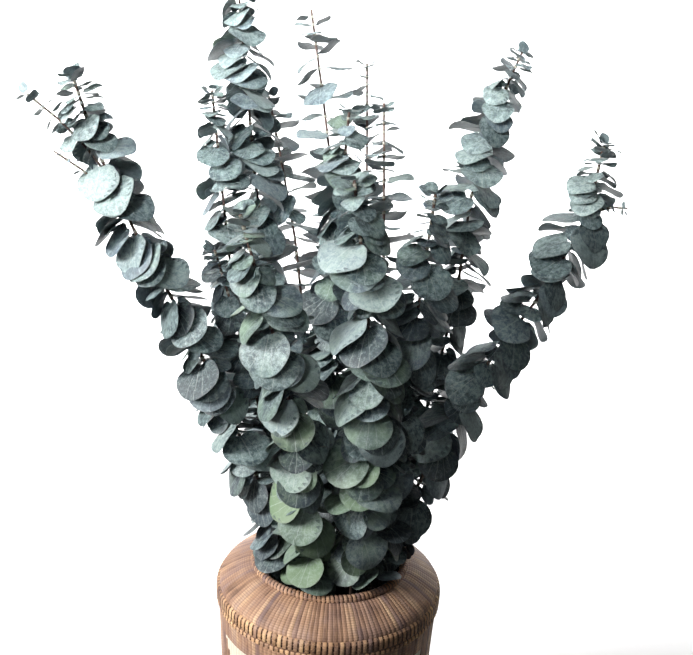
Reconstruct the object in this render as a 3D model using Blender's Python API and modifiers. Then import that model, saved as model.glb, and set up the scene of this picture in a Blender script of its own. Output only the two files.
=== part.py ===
"""Eucalyptus branches standing in a woven vase, in metres, +Z up.

The vase's foot stands on Z = 0 and its axis is the Z axis; -Y is the front. Each branch is one
node: its stem with the round leaves that grow from it in crossed pairs, fused into one solid.
"""

import math
import random

import bmesh
import bpy
from mathutils import Matrix, Vector
from mathutils.bvhtree import BVHTree

# Vase
VASE_HEIGHT = 0.235
MOUTH_RADIUS = 0.061
BRAID_WIDTH = 0.008
BRAID_HEIGHT = 0.005
BRAID_ROUND_SHARE = 0.35
LIP_SETBACK = 0.0015
SHOULDER_RADIUS = 0.098
SHOULDER_DROP = 0.022
SHOULDER_BEND = (0.010, 0.007)
EDGE_BEND = (0.003, 0.001)
BASE_RADIUS = 0.080
BELLY_DEPTH = 0.090
BELLY_RADIUS = 0.092
SHELL_WALL = 0.004
SHELL_FLOOR = 0.006
SHELL_LIP = 0.005
EDGE_BAND_HEIGHT = 0.015
EDGE_BAND_WALL = 0.0025
EDGE_BAND_TOP = 0.0055
EDGE_BAND_BEVEL = 0.0015
EDGE_BAND_LEAN = 0.002
RECESS_TOP = 0.006
RECESS_FOOT = 0.018
INNER_BEND = 0.010
LINER_RADIUS = 0.058
LINER_WALL = 0.0025
LINER_FLOOR = 0.004
LINER_BELOW_MOUTH = 0.006
VASE_SIDES = 24
GAP = 0.0003
MERGE = 0.00001

# Colours
WOVEN_BROWN = (0.30, 0.15, 0.075)
BRAID_TAN = (0.42, 0.22, 0.10)
BRAID_GOLD = (0.48, 0.27, 0.12)
GLASS_PALE = (0.70, 0.76, 0.74)
LEAF_GREEN = (0.20, 0.26, 0.23)

# Stems
STEM_RADII = (0.0021, 0.0010)
FOOT_SHARE = 0.55
FOOT_LIFT = 0.0006
STEM_POINTS = 9
TWIG_RADII = (0.0010, 0.0007)
TWIG_POINTS = 4
TWIG_SWEEP = 0.4
TWIG_BARE_SHARE = 0.4

# Leaves
LEAF_WIDTH = 0.0375
LEAF_LENGTH = 0.0318
LEAF_THICKNESS = 0.0009
ROOT_DEPTH = 0.0006
NECK_LENGTH = 0.0018
NECK_HALF_WIDTH = 0.0008
ROUNDNESS = 0.52
LARGE_LEAF_ANGLES = (122, 62, 0)
LEAF_ANGLES = (105, 36)
SMALL_LEAF_ANGLES = (95, 0)
LARGE_LEAF = 0.036
SMALL_LEAF = 0.020
WIDE_SPACING = 0.0286
TIP_SPACING = 0.010
WIDE_BELOW = 0.080
BARE_TIP = 0.001
FIRST_PAIR_HEIGHT = 0.236
TIP_SIZE = 0.34
FULL_SIZE_BELOW = 0.055
LOWEST_SIZE = 0.8
TIP_CLIMB = 35
CLIMB_BELOW = 0.022
CLIMB_SPREAD = 14
LEAF_GAP = 0.0009
LEAF_REACH = 1.5
FRONT = (0.0, -1.0, 0.0)
FIRST_TURN = 45
FIRST_TURN_SPREAD = 20
TURN_SPREAD = 14
ROLL_SPREAD = 22
SIZE_RANGE = (0.86, 1.08)
WIDTH_RANGE = (0.94, 1.06)
FOLD_RANGE = (0.02, 0.22)
DROOP_RANGE = (-0.05, 0.20)
TRIED_SIZES = (1.0, 0.9, 0.8, 0.7, 0.6)
TRIED_BENDS = (0, 14, -14, 28, -28, 45, 62)
SEED = 8

# Each branch: where its stem passes the mouth, what it bends through and its tip, its leaves' size
# beside the largest ones, the degrees that they climb from the stem's cross-plane (negative where
# they hang), and any twigs as (share of the way up, direction, length, leaf size)
BRANCHES = {
    "branch_front": {
        "mouth": (0.020, -0.038),
        "through": ((0.024, -0.100, 0.430),),
        "tip": (0.004, -0.120, 0.579),
        "leaf_size": 1.04,
        "hang": -36,
        "twigs": (),
    },
    "branch_front_left": {
        "mouth": (-0.012, -0.038),
        "through": ((-0.035, -0.100, 0.420),),
        "tip": (-0.068, -0.130, 0.555),
        "leaf_size": 0.95,
        "hang": -36,
        "twigs": (),
    },
    "branch_far_left": {
        "mouth": (-0.038, -0.012),
        "through": ((-0.112, -0.030, 0.430), (-0.173, -0.045, 0.557)),
        "tip": (-0.196, -0.050, 0.631),
        "leaf_size": 0.95,
        "hang": -34,
        "twigs": (
            (0.885, (-0.68, -0.12, 0.72), 0.080, 0.60),
            (0.840, (-0.73, -0.14, 0.67), 0.068, 0.28),
        ),
    },
    "branch_far_right": {
        "mouth": (0.047, -0.009),
        "through": ((0.108, -0.030, 0.413), (0.170, -0.045, 0.533)),
        "tip": (0.179, -0.050, 0.602),
        "leaf_size": 0.95,
        "hang": -36,
        "twigs": ((0.915, (0.90, -0.30, 0.32), 0.030, 0.34),),
    },
    "branch_front_right": {
        "mouth": (0.038, -0.027),
        "through": ((0.052, -0.068, 0.440),),
        "tip": (0.060, -0.085, 0.567),
        "leaf_size": 0.88,
        "hang": -33,
        "twigs": (),
    },
    "branch_right": {
        "mouth": (0.046, 0.011),
        "through": ((0.090, 0.030, 0.432), (0.105, 0.045, 0.583)),
        "tip": (0.131, 0.050, 0.661),
        "leaf_size": 0.9,
        "hang": -32,
        "twigs": (),
    },
    "branch_centre": {
        "mouth": (0.001, -0.006),
        "through": ((-0.008, -0.035, 0.449),),
        "tip": (-0.002, -0.045, 0.618),
        "leaf_size": 0.9,
        "hang": -34,
        "twigs": (),
    },
    "branch_tall_left": {
        "mouth": (-0.027, 0.034),
        "through": ((-0.075, 0.085, 0.499),),
        "tip": (-0.105, 0.125, 0.718),
        "leaf_size": 0.95,
        "hang": -38,
        "twigs": (),
    },
    "branch_back_left": {
        "mouth": (-0.036, 0.020),
        "through": ((-0.089, 0.060, 0.415),),
        "tip": (-0.118, 0.080, 0.617),
        "leaf_size": 0.85,
        "hang": -33,
        "twigs": (),
    },
    "branch_left": {
        "mouth": (-0.041, 0.004),
        "through": ((-0.070, 0.000, 0.390),),
        "tip": (-0.103, 0.000, 0.500),
        "leaf_size": 0.8,
        "hang": -30,
        "twigs": (),
    },
    "branch_back_inner_left": {
        "mouth": (-0.015, 0.045),
        "through": ((-0.043, 0.105, 0.470),),
        "tip": (-0.076, 0.140, 0.610),
        "leaf_size": 0.9,
        "hang": -12,
        "twigs": (),
    },
    "branch_tall_back": {
        "mouth": (0.002, 0.048),
        "through": ((-0.012, 0.100, 0.520),),
        "tip": (-0.040, 0.120, 0.685),
        "leaf_size": 0.86,
        "hang": 0,
        "twigs": (),
    },
    "branch_back_right": {
        "mouth": (0.019, 0.044),
        "through": ((0.018, 0.120, 0.480),),
        "tip": (0.010, 0.150, 0.642),
        "leaf_size": 0.72,
        "hang": 4,
        "twigs": (),
    },
    "branch_back_far_right": {
        "mouth": (0.036, 0.030),
        "through": ((0.034, 0.075, 0.460),),
        "tip": (0.026, 0.105, 0.612),
        "leaf_size": 0.76,
        "hang": 2,
        "twigs": (),
    },
}


def clear_scene():
    """Remove the objects of the scene that the script starts in."""
    for thing in list(bpy.data.objects):
        bpy.data.objects.remove(thing, do_unlink=True)


def new_collection(name):
    """A collection of the scene."""
    collection = bpy.data.collections.new(name)
    bpy.context.scene.collection.children.link(collection)
    return collection


def plain_material(name, colour, roughness, metallic=0.0):
    """A Principled material of one colour."""
    material = bpy.data.materials.new(name)
    material.use_nodes = True
    shader = material.node_tree.nodes["Principled BSDF"]
    shader.inputs["Base Color"].default_value = (*colour, 1.0)
    shader.inputs["Roughness"].default_value = roughness
    shader.inputs["Metallic"].default_value = metallic
    return material


def applied_mesh(thing, name):
    """The object's evaluated mesh in world space."""
    depsgraph = bpy.context.evaluated_depsgraph_get()
    mesh = bpy.data.meshes.new_from_object(thing.evaluated_get(depsgraph))
    mesh.transform(thing.matrix_world)
    mesh.name = name
    return mesh


def weld(mesh):
    """Join a curve's loose caps to its sides."""
    bm = bmesh.new()
    bm.from_mesh(mesh)
    bmesh.ops.remove_doubles(bm, verts=bm.verts, dist=MERGE)
    bm.to_mesh(mesh)
    bm.free()


# Vase


def turned(collection, name, profile, closed, material):
    """A turned piece: the profile's points (radius, height), run down its outer side."""
    mesh = bpy.data.meshes.new(name)
    bm = bmesh.new()
    points = [bm.verts.new((radius, 0.0, height)) for radius, height in profile]
    for a, b in zip(points, points[1:] + (points[:1] if closed else [])):
        bm.edges.new((a, b))
    bm.to_mesh(mesh)
    bm.free()
    thing = bpy.data.objects.new(name, mesh)
    collection.objects.link(thing)
    screw = thing.modifiers.new("Turn", "SCREW")
    screw.steps = VASE_SIDES
    screw.render_steps = VASE_SIDES
    screw.use_merge_vertices = True
    screw.merge_threshold = 0.0001
    screw.use_normal_calculate = False
    screw.use_smooth_shade = True
    mesh.materials.append(material)
    return thing


def shoulder_height():
    """The height of the shoulder's edge."""
    return VASE_HEIGHT - SHOULDER_DROP


def shell_outline():
    """The woven shell's outer side from the mouth down to the floor's middle."""
    neck = MOUTH_RADIUS + BRAID_WIDTH
    edge = shoulder_height()
    return [
        (MOUTH_RADIUS + LIP_SETBACK, VASE_HEIGHT - BRAID_HEIGHT),
        (neck, VASE_HEIGHT - BRAID_HEIGHT),
        (SHOULDER_RADIUS - SHOULDER_BEND[0], edge + SHOULDER_BEND[1]),
        (SHOULDER_RADIUS - EDGE_BEND[0], edge + EDGE_BEND[1]),
        (SHOULDER_RADIUS - EDGE_BAND_WALL, edge - RECESS_TOP),
        (SHOULDER_RADIUS - EDGE_BAND_WALL, edge - RECESS_FOOT),
        (BELLY_RADIUS, edge - BELLY_DEPTH),
        (BASE_RADIUS, 0.0),
        (0.0, 0.0),
    ]


def shell_inside():
    """The shell's inner side, from the floor's middle up to the mouth."""
    edge = shoulder_height()
    return [
        (0.0, SHELL_FLOOR),
        (BASE_RADIUS - SHELL_WALL, SHELL_FLOOR),
        (BELLY_RADIUS - SHELL_WALL, edge - BELLY_DEPTH),
        (SHOULDER_RADIUS - EDGE_BAND_WALL - SHELL_WALL, edge - INNER_BEND),
        (MOUTH_RADIUS + LIP_SETBACK, VASE_HEIGHT - BRAID_HEIGHT - SHELL_LIP),
    ]


def build_shell(collection):
    """The woven shell, closed at the floor and open at the mouth."""
    material = plain_material("woven_brown", WOVEN_BROWN, 0.62)
    profile = shell_inside() + shell_outline()
    return turned(collection, "vase_shell", profile, False, material)


def build_mouth_braid(collection):
    """The braid bound round the mouth, seated on the shell's lip."""
    low = VASE_HEIGHT - BRAID_HEIGHT + GAP
    outer = MOUTH_RADIUS + BRAID_WIDTH
    mid = MOUTH_RADIUS + BRAID_WIDTH / 2
    profile = [
        (mid, VASE_HEIGHT),
        (outer, VASE_HEIGHT - BRAID_HEIGHT * BRAID_ROUND_SHARE),
        (outer, low),
        (MOUTH_RADIUS, low),
        (MOUTH_RADIUS, VASE_HEIGHT - BRAID_HEIGHT * BRAID_ROUND_SHARE),
    ]
    material = plain_material("braid_tan", BRAID_TAN, 0.6)
    return turned(collection, "mouth_braid", profile, True, material)


def build_edge_braid(collection):
    """The braided band that runs round the shoulder's edge."""
    edge = shoulder_height()
    inner = SHOULDER_RADIUS - EDGE_BAND_WALL + GAP
    profile = [
        (inner, edge - EDGE_BAND_TOP),
        (SHOULDER_RADIUS, edge - EDGE_BAND_TOP - EDGE_BAND_BEVEL),
        (SHOULDER_RADIUS, edge - EDGE_BAND_HEIGHT),
        (inner, edge - EDGE_BAND_HEIGHT - EDGE_BAND_LEAN),
    ]
    material = plain_material("braid_gold", BRAID_GOLD, 0.6)
    return turned(collection, "edge_braid", profile, True, material)


def build_liner(collection):
    """The pale glass liner that stands on the shell's floor and holds the stems."""
    top = VASE_HEIGHT - LINER_BELOW_MOUTH
    foot = SHELL_FLOOR + GAP
    profile = [
        (0.0, foot + LINER_FLOOR),
        (LINER_RADIUS - LINER_WALL, foot + LINER_FLOOR),
        (LINER_RADIUS - LINER_WALL, top),
        (LINER_RADIUS, top),
        (LINER_RADIUS, foot),
        (0.0, foot),
    ]
    material = plain_material("liner_glass", GLASS_PALE, 0.15)
    return turned(collection, "inner_liner", profile, False, material)


# Stem paths


def stem_path(knots, count):
    """Points on the smooth curve through the knots, evenly spaced in its own measure."""
    ends = [2 * knots[0] - knots[1], *knots, 2 * knots[-1] - knots[-2]]
    times = [0.0]
    for a, b in zip(ends, ends[1:]):
        times.append(times[-1] + (b - a).length ** 0.5)
    points = []
    for step in range(count):
        t = times[1] + (times[-2] - times[1]) * step / (count - 1)
        part = 0
        while part < len(knots) - 2 and t > times[part + 2]:
            part += 1
        points.append(spline_point(ends[part : part + 4], times[part : part + 4], t))
    return points


def spline_point(near, at, t):
    """The curve's point between the second and third of four knots, by repeated blending."""
    row = list(near)
    for spans in (((0, 1), (1, 2), (2, 3)), ((0, 2), (1, 3)), ((1, 2),)):
        shares = [(t - at[low]) / (at[high] - at[low]) for low, high in spans]
        row = [row[i].lerp(row[i + 1], share) for i, share in enumerate(shares)]
    return row[0]


def liner_floor():
    """The height that the stems' cut ends stand on."""
    return SHELL_FLOOR + GAP + LINER_FLOOR


def branch_path(plan):
    """The points of a branch's stem, from its cut end to its tip."""
    mouth = Vector((*plan["mouth"], VASE_HEIGHT))
    foot = Vector((mouth.x * FOOT_SHARE, mouth.y * FOOT_SHARE, liner_floor() + FOOT_LIFT))
    bends = [Vector(point) for point in plan["through"]]
    return stem_path([foot, mouth, *bends, Vector(plan["tip"])], STEM_POINTS)


def tube(name, points, radii):
    """A stem as a curve with round section, made a mesh."""
    curve = bpy.data.curves.new(name, "CURVE")
    curve.dimensions = "3D"
    curve.bevel_depth = 1.0
    curve.bevel_resolution = 0
    curve.use_fill_caps = True
    spline = curve.splines.new("POLY")
    spline.points.add(len(points) - 1)
    for place, point, radius in zip(spline.points, points, radii):
        place.co = (*point, 1.0)
        place.radius = radius
    thing = bpy.data.objects.new(name, curve)
    bpy.context.scene.collection.objects.link(thing)
    mesh = applied_mesh(thing, name)
    weld(mesh)
    bpy.data.objects.remove(thing, do_unlink=True)
    bpy.data.curves.remove(curve)
    return mesh


def along(points, distance):
    """The point and the direction of the path at a distance from its start."""
    for a, b in zip(points, points[1:]):
        step = (b - a).length
        if distance <= step:
            return a.lerp(b, distance / step), (b - a).normalized()
        distance -= step
    return points[-1].copy(), (points[-1] - points[-2]).normalized()


def path_length(points):
    """The length of the path."""
    return sum((b - a).length for a, b in zip(points, points[1:]))


# Leaves


def outline_angles(width):
    """The outline's turns from the leaf's tip, more of them on a larger leaf."""
    if width < SMALL_LEAF:
        return SMALL_LEAF_ANGLES
    return LARGE_LEAF_ANGLES if width > LARGE_LEAF else LEAF_ANGLES


def leaf_outline(length, width, stem_radius):
    """The broad round outline, in the leaf's own plane: root first, then round by the tip."""
    neck = stem_radius + NECK_LENGTH
    round_length = ROUNDNESS * length
    centre = neck + round_length
    side = [(neck, NECK_HALF_WIDTH)]
    for angle in outline_angles(width):
        turn = math.radians(angle)
        side.append((centre + round_length * math.cos(turn), ROUNDNESS * width * math.sin(turn)))
    mirrored = [(x, -y) for x, y in reversed(side) if y > 0]
    return [(-ROOT_DEPTH, 0.0)] + side + mirrored


def leaf_shape(leaf, thickness, grow):
    """The corners and triangles of one leaf blade, which thins to a point in the stem."""
    out, across, up = leaf["axes"]
    corners = []
    outline = leaf_outline(leaf["length"] + grow, leaf["width"] + 2 * grow, leaf["stem_radius"])
    for x, y in outline:
        rise = leaf["fold"] * abs(y) - leaf["droop"] * max(x, 0.0) ** 2 / leaf["length"]
        corners.append(leaf["root"] + out * x + across * y + up * rise)
    half = up * thickness / 2
    count = len(corners)
    points = corners[:1] + [p + half for p in corners[1:]] + [p - half for p in corners[1:]]
    top = [(0, count - 1, 1)]
    for i in range(1, count // 2):
        top.append((i, count - i, i + 1))
        if i + 1 < count - i - 1:
            top.append((i + 1, count - i, count - i - 1))
    under = count - 1
    bottom = [tuple(k + under if k else 0 for k in reversed(face)) for face in top]
    sides = [(0, 1, 1 + under), (0, count - 1 + under, count - 1)]
    for i in range(1, count - 1):
        sides.append((i, i + 1, i + 1 + under))
        sides.append((i, i + 1 + under, i + under))
    return points, top + bottom + sides


def leaf_frame(tangent, turn, climb, roll):
    """A leaf's own axes: outwards, across and up, climbing from the stem's cross-plane."""
    front = Vector(FRONT)
    side = (front - tangent * front.dot(tangent)).normalized()
    side.rotate(Matrix.Rotation(turn, 3, tangent))
    out = (side * math.cos(climb) + tangent * math.sin(climb)).normalized()
    across = tangent.cross(side).normalized()
    across.rotate(Matrix.Rotation(roll, 3, out))
    return out, across, out.cross(across)


def leaf_tries(climb):
    """The climbs and sizes that a leaf may take, the natural ones first."""
    for size in TRIED_SIZES:
        for bend in TRIED_BENDS:
            yield climb + math.radians(bend), size


class Growth:
    """The leaves placed so far, so that no leaf crosses another branch or the vase."""

    def __init__(self, fixed, stems):
        self.fixed = fixed
        self.stems = stems
        self.leaves = []

    def clear(self, branch, node, leaf):
        """Whether the leaf stays clear of the vase, the other stems and the other leaves."""
        points, faces = leaf_shape(leaf, LEAF_THICKNESS + 2 * LEAF_GAP, LEAF_GAP)
        shape = BVHTree.FromPolygons(points, faces)
        if any(shape.overlap(tree) for tree in self.fixed):
            return False
        if any(shape.overlap(tree) for name, tree in self.stems.items() if name != branch):
            return False
        for other_branch, other_node, centre, reach, tree in self.leaves:
            if other_branch == branch and other_node == node:
                continue
            if (centre - leaf["root"]).length > reach + leaf["length"] * LEAF_REACH:
                continue
            if shape.overlap(tree):
                return False
        return True

    def add(self, branch, node, leaf):
        """Keep the leaf's own shape for the leaves that follow."""
        points, faces = leaf_shape(leaf, LEAF_THICKNESS, 0.0)
        tree = BVHTree.FromPolygons(points, faces)
        self.leaves.append((branch, node, leaf["root"].copy(), leaf["length"] * LEAF_REACH, tree))


def pair_spots(points, first, size):
    """Distances of the leaf pairs along the stem, closer together towards the tip."""
    total = path_length(points)
    spots = []
    at = first
    while at < total - BARE_TIP:
        share = (at - first) / (total - first)
        spots.append((at, share))
        widening = min(1.0, (total - at) / WIDE_BELOW) * (1 + size) / 2
        at += TIP_SPACING + (WIDE_SPACING - TIP_SPACING) * widening
    return spots


def first_pair(points):
    """How far up the stem the first leaves grow, just above the mouth."""
    done = 0.0
    for a, b in zip(points, points[1:]):
        if b.z >= FIRST_PAIR_HEIGHT:
            return done + (b - a).length * (FIRST_PAIR_HEIGHT - a.z) / (b.z - a.z)
        done += (b - a).length
    return done


def grow_pairs(growth, name, points, radii, first, size, hang, dice, prefix):
    """Place the crossed pairs of one stem or twig and return its leaves."""
    leaves = []
    thick, thin = radii
    total = path_length(points)
    start = math.radians(FIRST_TURN + dice.uniform(-FIRST_TURN_SPREAD, FIRST_TURN_SPREAD))
    for number, (at, share) in enumerate(pair_spots(points, first, size)):
        root, tangent = along(points, at)
        stem_radius = thick + (thin - thick) * at / total
        below = total - at
        shrink = TIP_SIZE + (1 - TIP_SIZE) * min(1.0, below / FULL_SIZE_BELOW)
        shrink *= min(1.0, LOWEST_SIZE + share)
        for half in range(2):
            turn = start + number * math.pi / 2 + half * math.pi
            turn += math.radians(dice.uniform(-TURN_SPREAD, TURN_SPREAD))
            climb = hang + (TIP_CLIMB - hang) * max(0.0, 1 - below / CLIMB_BELOW)
            climb = math.radians(dice.gauss(climb, CLIMB_SPREAD))
            scale = size * shrink * dice.uniform(*SIZE_RANGE)
            wide = dice.uniform(*WIDTH_RANGE)
            roll = math.radians(dice.uniform(-ROLL_SPREAD, ROLL_SPREAD))
            fold = dice.uniform(*FOLD_RANGE)
            droop = dice.uniform(*DROOP_RANGE)
            for bent, part in leaf_tries(climb):
                leaf = {
                    "root": root,
                    "stem_radius": stem_radius,
                    "axes": leaf_frame(tangent, turn, bent, roll),
                    "length": LEAF_LENGTH * scale * part,
                    "width": LEAF_WIDTH * scale * part * wide,
                    "fold": fold,
                    "droop": droop,
                }
                if growth.clear(name, (prefix, number), leaf):
                    growth.add(name, (prefix, number), leaf)
                    leaves.append(leaf)
                    break
    return leaves


def twig_path(points, twig):
    """A short side twig's points, rising from the stem."""
    share, direction, length, _ = twig
    root, tangent = along(points, path_length(points) * share)
    aim = Vector(direction).normalized()
    middle = root + (aim + tangent * TWIG_SWEEP).normalized() * length / 2
    return stem_path([root, middle, root + aim * length], TWIG_POINTS)


def tapered(count, thick, thin):
    """Radii from thick to thin."""
    return [thick + (thin - thick) * i / (count - 1) for i in range(count)]


def mesh_object(collection, name, points, faces):
    """A mesh object from corners and faces."""
    mesh = bpy.data.meshes.new(name)
    mesh.from_pydata([tuple(p) for p in points], [], faces)
    thing = bpy.data.objects.new(name, mesh)
    collection.objects.link(thing)
    return thing


def fuse(collection, name, stem_mesh, pieces, material):
    """Join a stem with what grows from it by one union."""
    parts = bpy.data.collections.new(name + "_parts")
    bpy.context.scene.collection.children.link(parts)
    for index, (points, faces) in enumerate(pieces):
        mesh_object(parts, f"{name}_{index}", points, faces)
    base = bpy.data.objects.new(name + "_stem", stem_mesh)
    bpy.context.scene.collection.objects.link(base)
    union = base.modifiers.new("Join", "BOOLEAN")
    union.operation = "UNION"
    union.operand_type = "COLLECTION"
    union.collection = parts
    union.solver = "MANIFOLD"
    mesh = applied_mesh(base, name)
    bpy.data.objects.remove(base, do_unlink=True)
    for thing in list(parts.objects):
        bpy.data.objects.remove(thing, do_unlink=True)
    bpy.data.collections.remove(parts)
    mesh.materials.clear()
    mesh.materials.append(material)
    branch = bpy.data.objects.new(name, mesh)
    collection.objects.link(branch)
    return branch


def build_branches(collection, vase):
    """Every branch of the vase, each grown clear of the others."""
    material = plain_material("eucalyptus_leaf", LEAF_GREEN, 0.6)
    depsgraph = bpy.context.evaluated_depsgraph_get()
    fixed = [BVHTree.FromObject(thing, depsgraph) for thing in vase]
    paths, stems, meshes, extras = {}, {}, {}, {}
    for name, plan in BRANCHES.items():
        paths[name] = branch_path(plan)
        radii = tapered(STEM_POINTS, *STEM_RADII)
        meshes[name] = tube(name, paths[name], radii)
        stems[name] = BVHTree.FromPolygons(
            [v.co.copy() for v in meshes[name].vertices],
            [tuple(p.vertices) for p in meshes[name].polygons],
        )
    growth = Growth(fixed, stems)
    dice = random.Random(SEED)
    for name, plan in BRANCHES.items():
        size = plan["leaf_size"]
        extras[name] = []
        path = paths[name]
        leaves = grow_pairs(
            growth, name, path, STEM_RADII, first_pair(path), size, plan["hang"], dice, "stem"
        )
        for number, twig in enumerate(plan["twigs"]):
            route = twig_path(paths[name], twig)
            mesh = tube(name + "_twig", route, tapered(TWIG_POINTS, *TWIG_RADII))
            corners = [v.co.copy() for v in mesh.vertices]
            extras[name].append((corners, [tuple(p.vertices) for p in mesh.polygons]))
            bare = twig[2] * TWIG_BARE_SHARE
            leaves += grow_pairs(growth, name, route, TWIG_RADII, bare, twig[3], 0, dice, number)
        extras[name] += [leaf_shape(leaf, LEAF_THICKNESS, 0.0) for leaf in leaves]
    for name in BRANCHES:
        fuse(collection, name, meshes[name], extras[name], material)


def main():
    """Build the vase and its branches."""
    clear_scene()
    collection = new_collection("eucalyptus_vase")
    vase = [
        build_shell(collection),
        build_mouth_braid(collection),
        build_edge_braid(collection),
        build_liner(collection),
    ]
    build_branches(collection, vase)


main()
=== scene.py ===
"""Looks of the eucalyptus branches in their woven vase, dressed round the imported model.

Metres, +Z up. The vase's axis is the Z axis, its foot stands on Z = 0 and -Y is the front.
"""

import logging
import math
import random
from collections.abc import Iterator
from dataclasses import dataclass, field
from enum import Enum

import bmesh
import bpy
from mathutils import Matrix, Vector
from mathutils.bvhtree import BVHTree


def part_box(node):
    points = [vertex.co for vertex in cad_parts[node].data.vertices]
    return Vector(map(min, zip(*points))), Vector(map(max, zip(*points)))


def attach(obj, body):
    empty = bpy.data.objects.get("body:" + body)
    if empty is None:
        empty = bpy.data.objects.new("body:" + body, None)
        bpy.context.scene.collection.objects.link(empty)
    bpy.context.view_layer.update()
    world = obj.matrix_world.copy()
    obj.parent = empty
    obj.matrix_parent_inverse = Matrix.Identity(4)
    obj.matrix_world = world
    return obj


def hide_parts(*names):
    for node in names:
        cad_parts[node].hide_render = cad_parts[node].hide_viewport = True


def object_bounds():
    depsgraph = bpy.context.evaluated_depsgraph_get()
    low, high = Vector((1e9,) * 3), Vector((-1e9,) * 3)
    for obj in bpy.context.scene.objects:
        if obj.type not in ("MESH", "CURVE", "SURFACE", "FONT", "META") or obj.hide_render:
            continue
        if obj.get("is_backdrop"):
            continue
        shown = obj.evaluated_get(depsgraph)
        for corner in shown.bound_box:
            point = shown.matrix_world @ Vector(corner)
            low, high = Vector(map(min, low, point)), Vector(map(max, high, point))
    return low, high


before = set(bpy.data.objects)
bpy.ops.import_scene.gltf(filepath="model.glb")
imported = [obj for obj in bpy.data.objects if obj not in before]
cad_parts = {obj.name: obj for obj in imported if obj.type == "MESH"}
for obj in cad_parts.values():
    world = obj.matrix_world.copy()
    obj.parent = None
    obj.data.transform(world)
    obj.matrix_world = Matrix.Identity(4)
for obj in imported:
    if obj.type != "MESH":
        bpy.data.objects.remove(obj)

LOG = logging.getLogger("eucalyptus_vase")
BODY = "root"
VASE_NODES = ("vase_shell", "mouth_braid", "edge_braid", "inner_liner")
FULL_TURN = 2 * math.pi
SMOOTH_ANGLE = math.radians(50)

Colour = tuple[int, int, int]
Corner = tuple[float, float]
Point = tuple[float, float, float]
Box = tuple[Vector, Vector]


def paint(colour: Colour) -> tuple[float, float, float, float]:
    """A display colour of 0 to 255 as the linear colour that the shaders take.

    Args:
        colour: Red, green and blue as a screen shows them.

    Returns:
        Linear red, green, blue and full alpha.
    """
    linear = []
    for channel in colour:
        share = channel / 255
        linear.append(share / 12.92 if share <= 0.04045 else ((share + 0.055) / 1.055) ** 2.4)
    return (*linear, 1.0)


# Node graphs


class Value:
    """A socket of a node graph that takes part in arithmetic."""

    def __init__(self, graph: "Graph", socket: bpy.types.NodeSocket) -> None:
        """Wrap a socket of a graph."""
        self.graph = graph
        self.socket = socket

    def out(self, name: str) -> "Value":
        """Another output of the same node."""
        return Value(self.graph, self.socket.node.outputs[name])

    def math(self, operation: str, *others: "Value | float") -> "Value":
        """Join this value with others in a Math node.

        Args:
            operation: The Math node's operation.
            others: The second and third numbers.

        Returns:
            The node's result.
        """
        inputs = dict(enumerate((self, *others)))
        return self.graph.add("ShaderNodeMath", {"operation": operation}, inputs)

    def __add__(self, other: "Value | float") -> "Value":
        """This value plus another."""
        return self.math("ADD", other)

    __radd__ = __add__

    def __sub__(self, other: "Value | float") -> "Value":
        """This value less another."""
        return self.math("SUBTRACT", other)

    def __rsub__(self, other: float) -> "Value":
        """A number less this value."""
        return (self * -1.0).math("ADD", other)

    def __mul__(self, other: "Value | float") -> "Value":
        """This value times another."""
        return self.math("MULTIPLY", other)

    __rmul__ = __mul__

    def __truediv__(self, other: "Value | float") -> "Value":
        """This value divided by another."""
        return self.math("DIVIDE", other)

    def __pow__(self, other: float) -> "Value":
        """This value raised to a power."""
        return self.math("POWER", other)

    def at_least(self, low: "Value | float") -> "Value":
        """This value, or the other one where it is larger."""
        return self.math("MAXIMUM", low)

    def at_most(self, high: "Value | float") -> "Value":
        """This value, or the other one where it is smaller."""
        return self.math("MINIMUM", high)

    def above(self, limit: "Value | float") -> "Value":
        """One where this value passes the limit, else zero."""
        return self.math("GREATER_THAN", limit)

    def size(self) -> "Value":
        """This value without its sign."""
        return self.math("ABSOLUTE")

    def spread(self, low: float, high: float) -> "Value":
        """The share of the way from low to high, smooth at both ends.

        Args:
            low: The value that becomes 0.
            high: The value that becomes 1.

        Returns:
            A share from 0 to 1.
        """
        settings = {"interpolation_type": "SMOOTHSTEP"}
        inputs = {"Value": self, "From Min": low, "From Max": high, "To Min": 0.0, "To Max": 1.0}
        return self.graph.add("ShaderNodeMapRange", settings, inputs)


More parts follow.
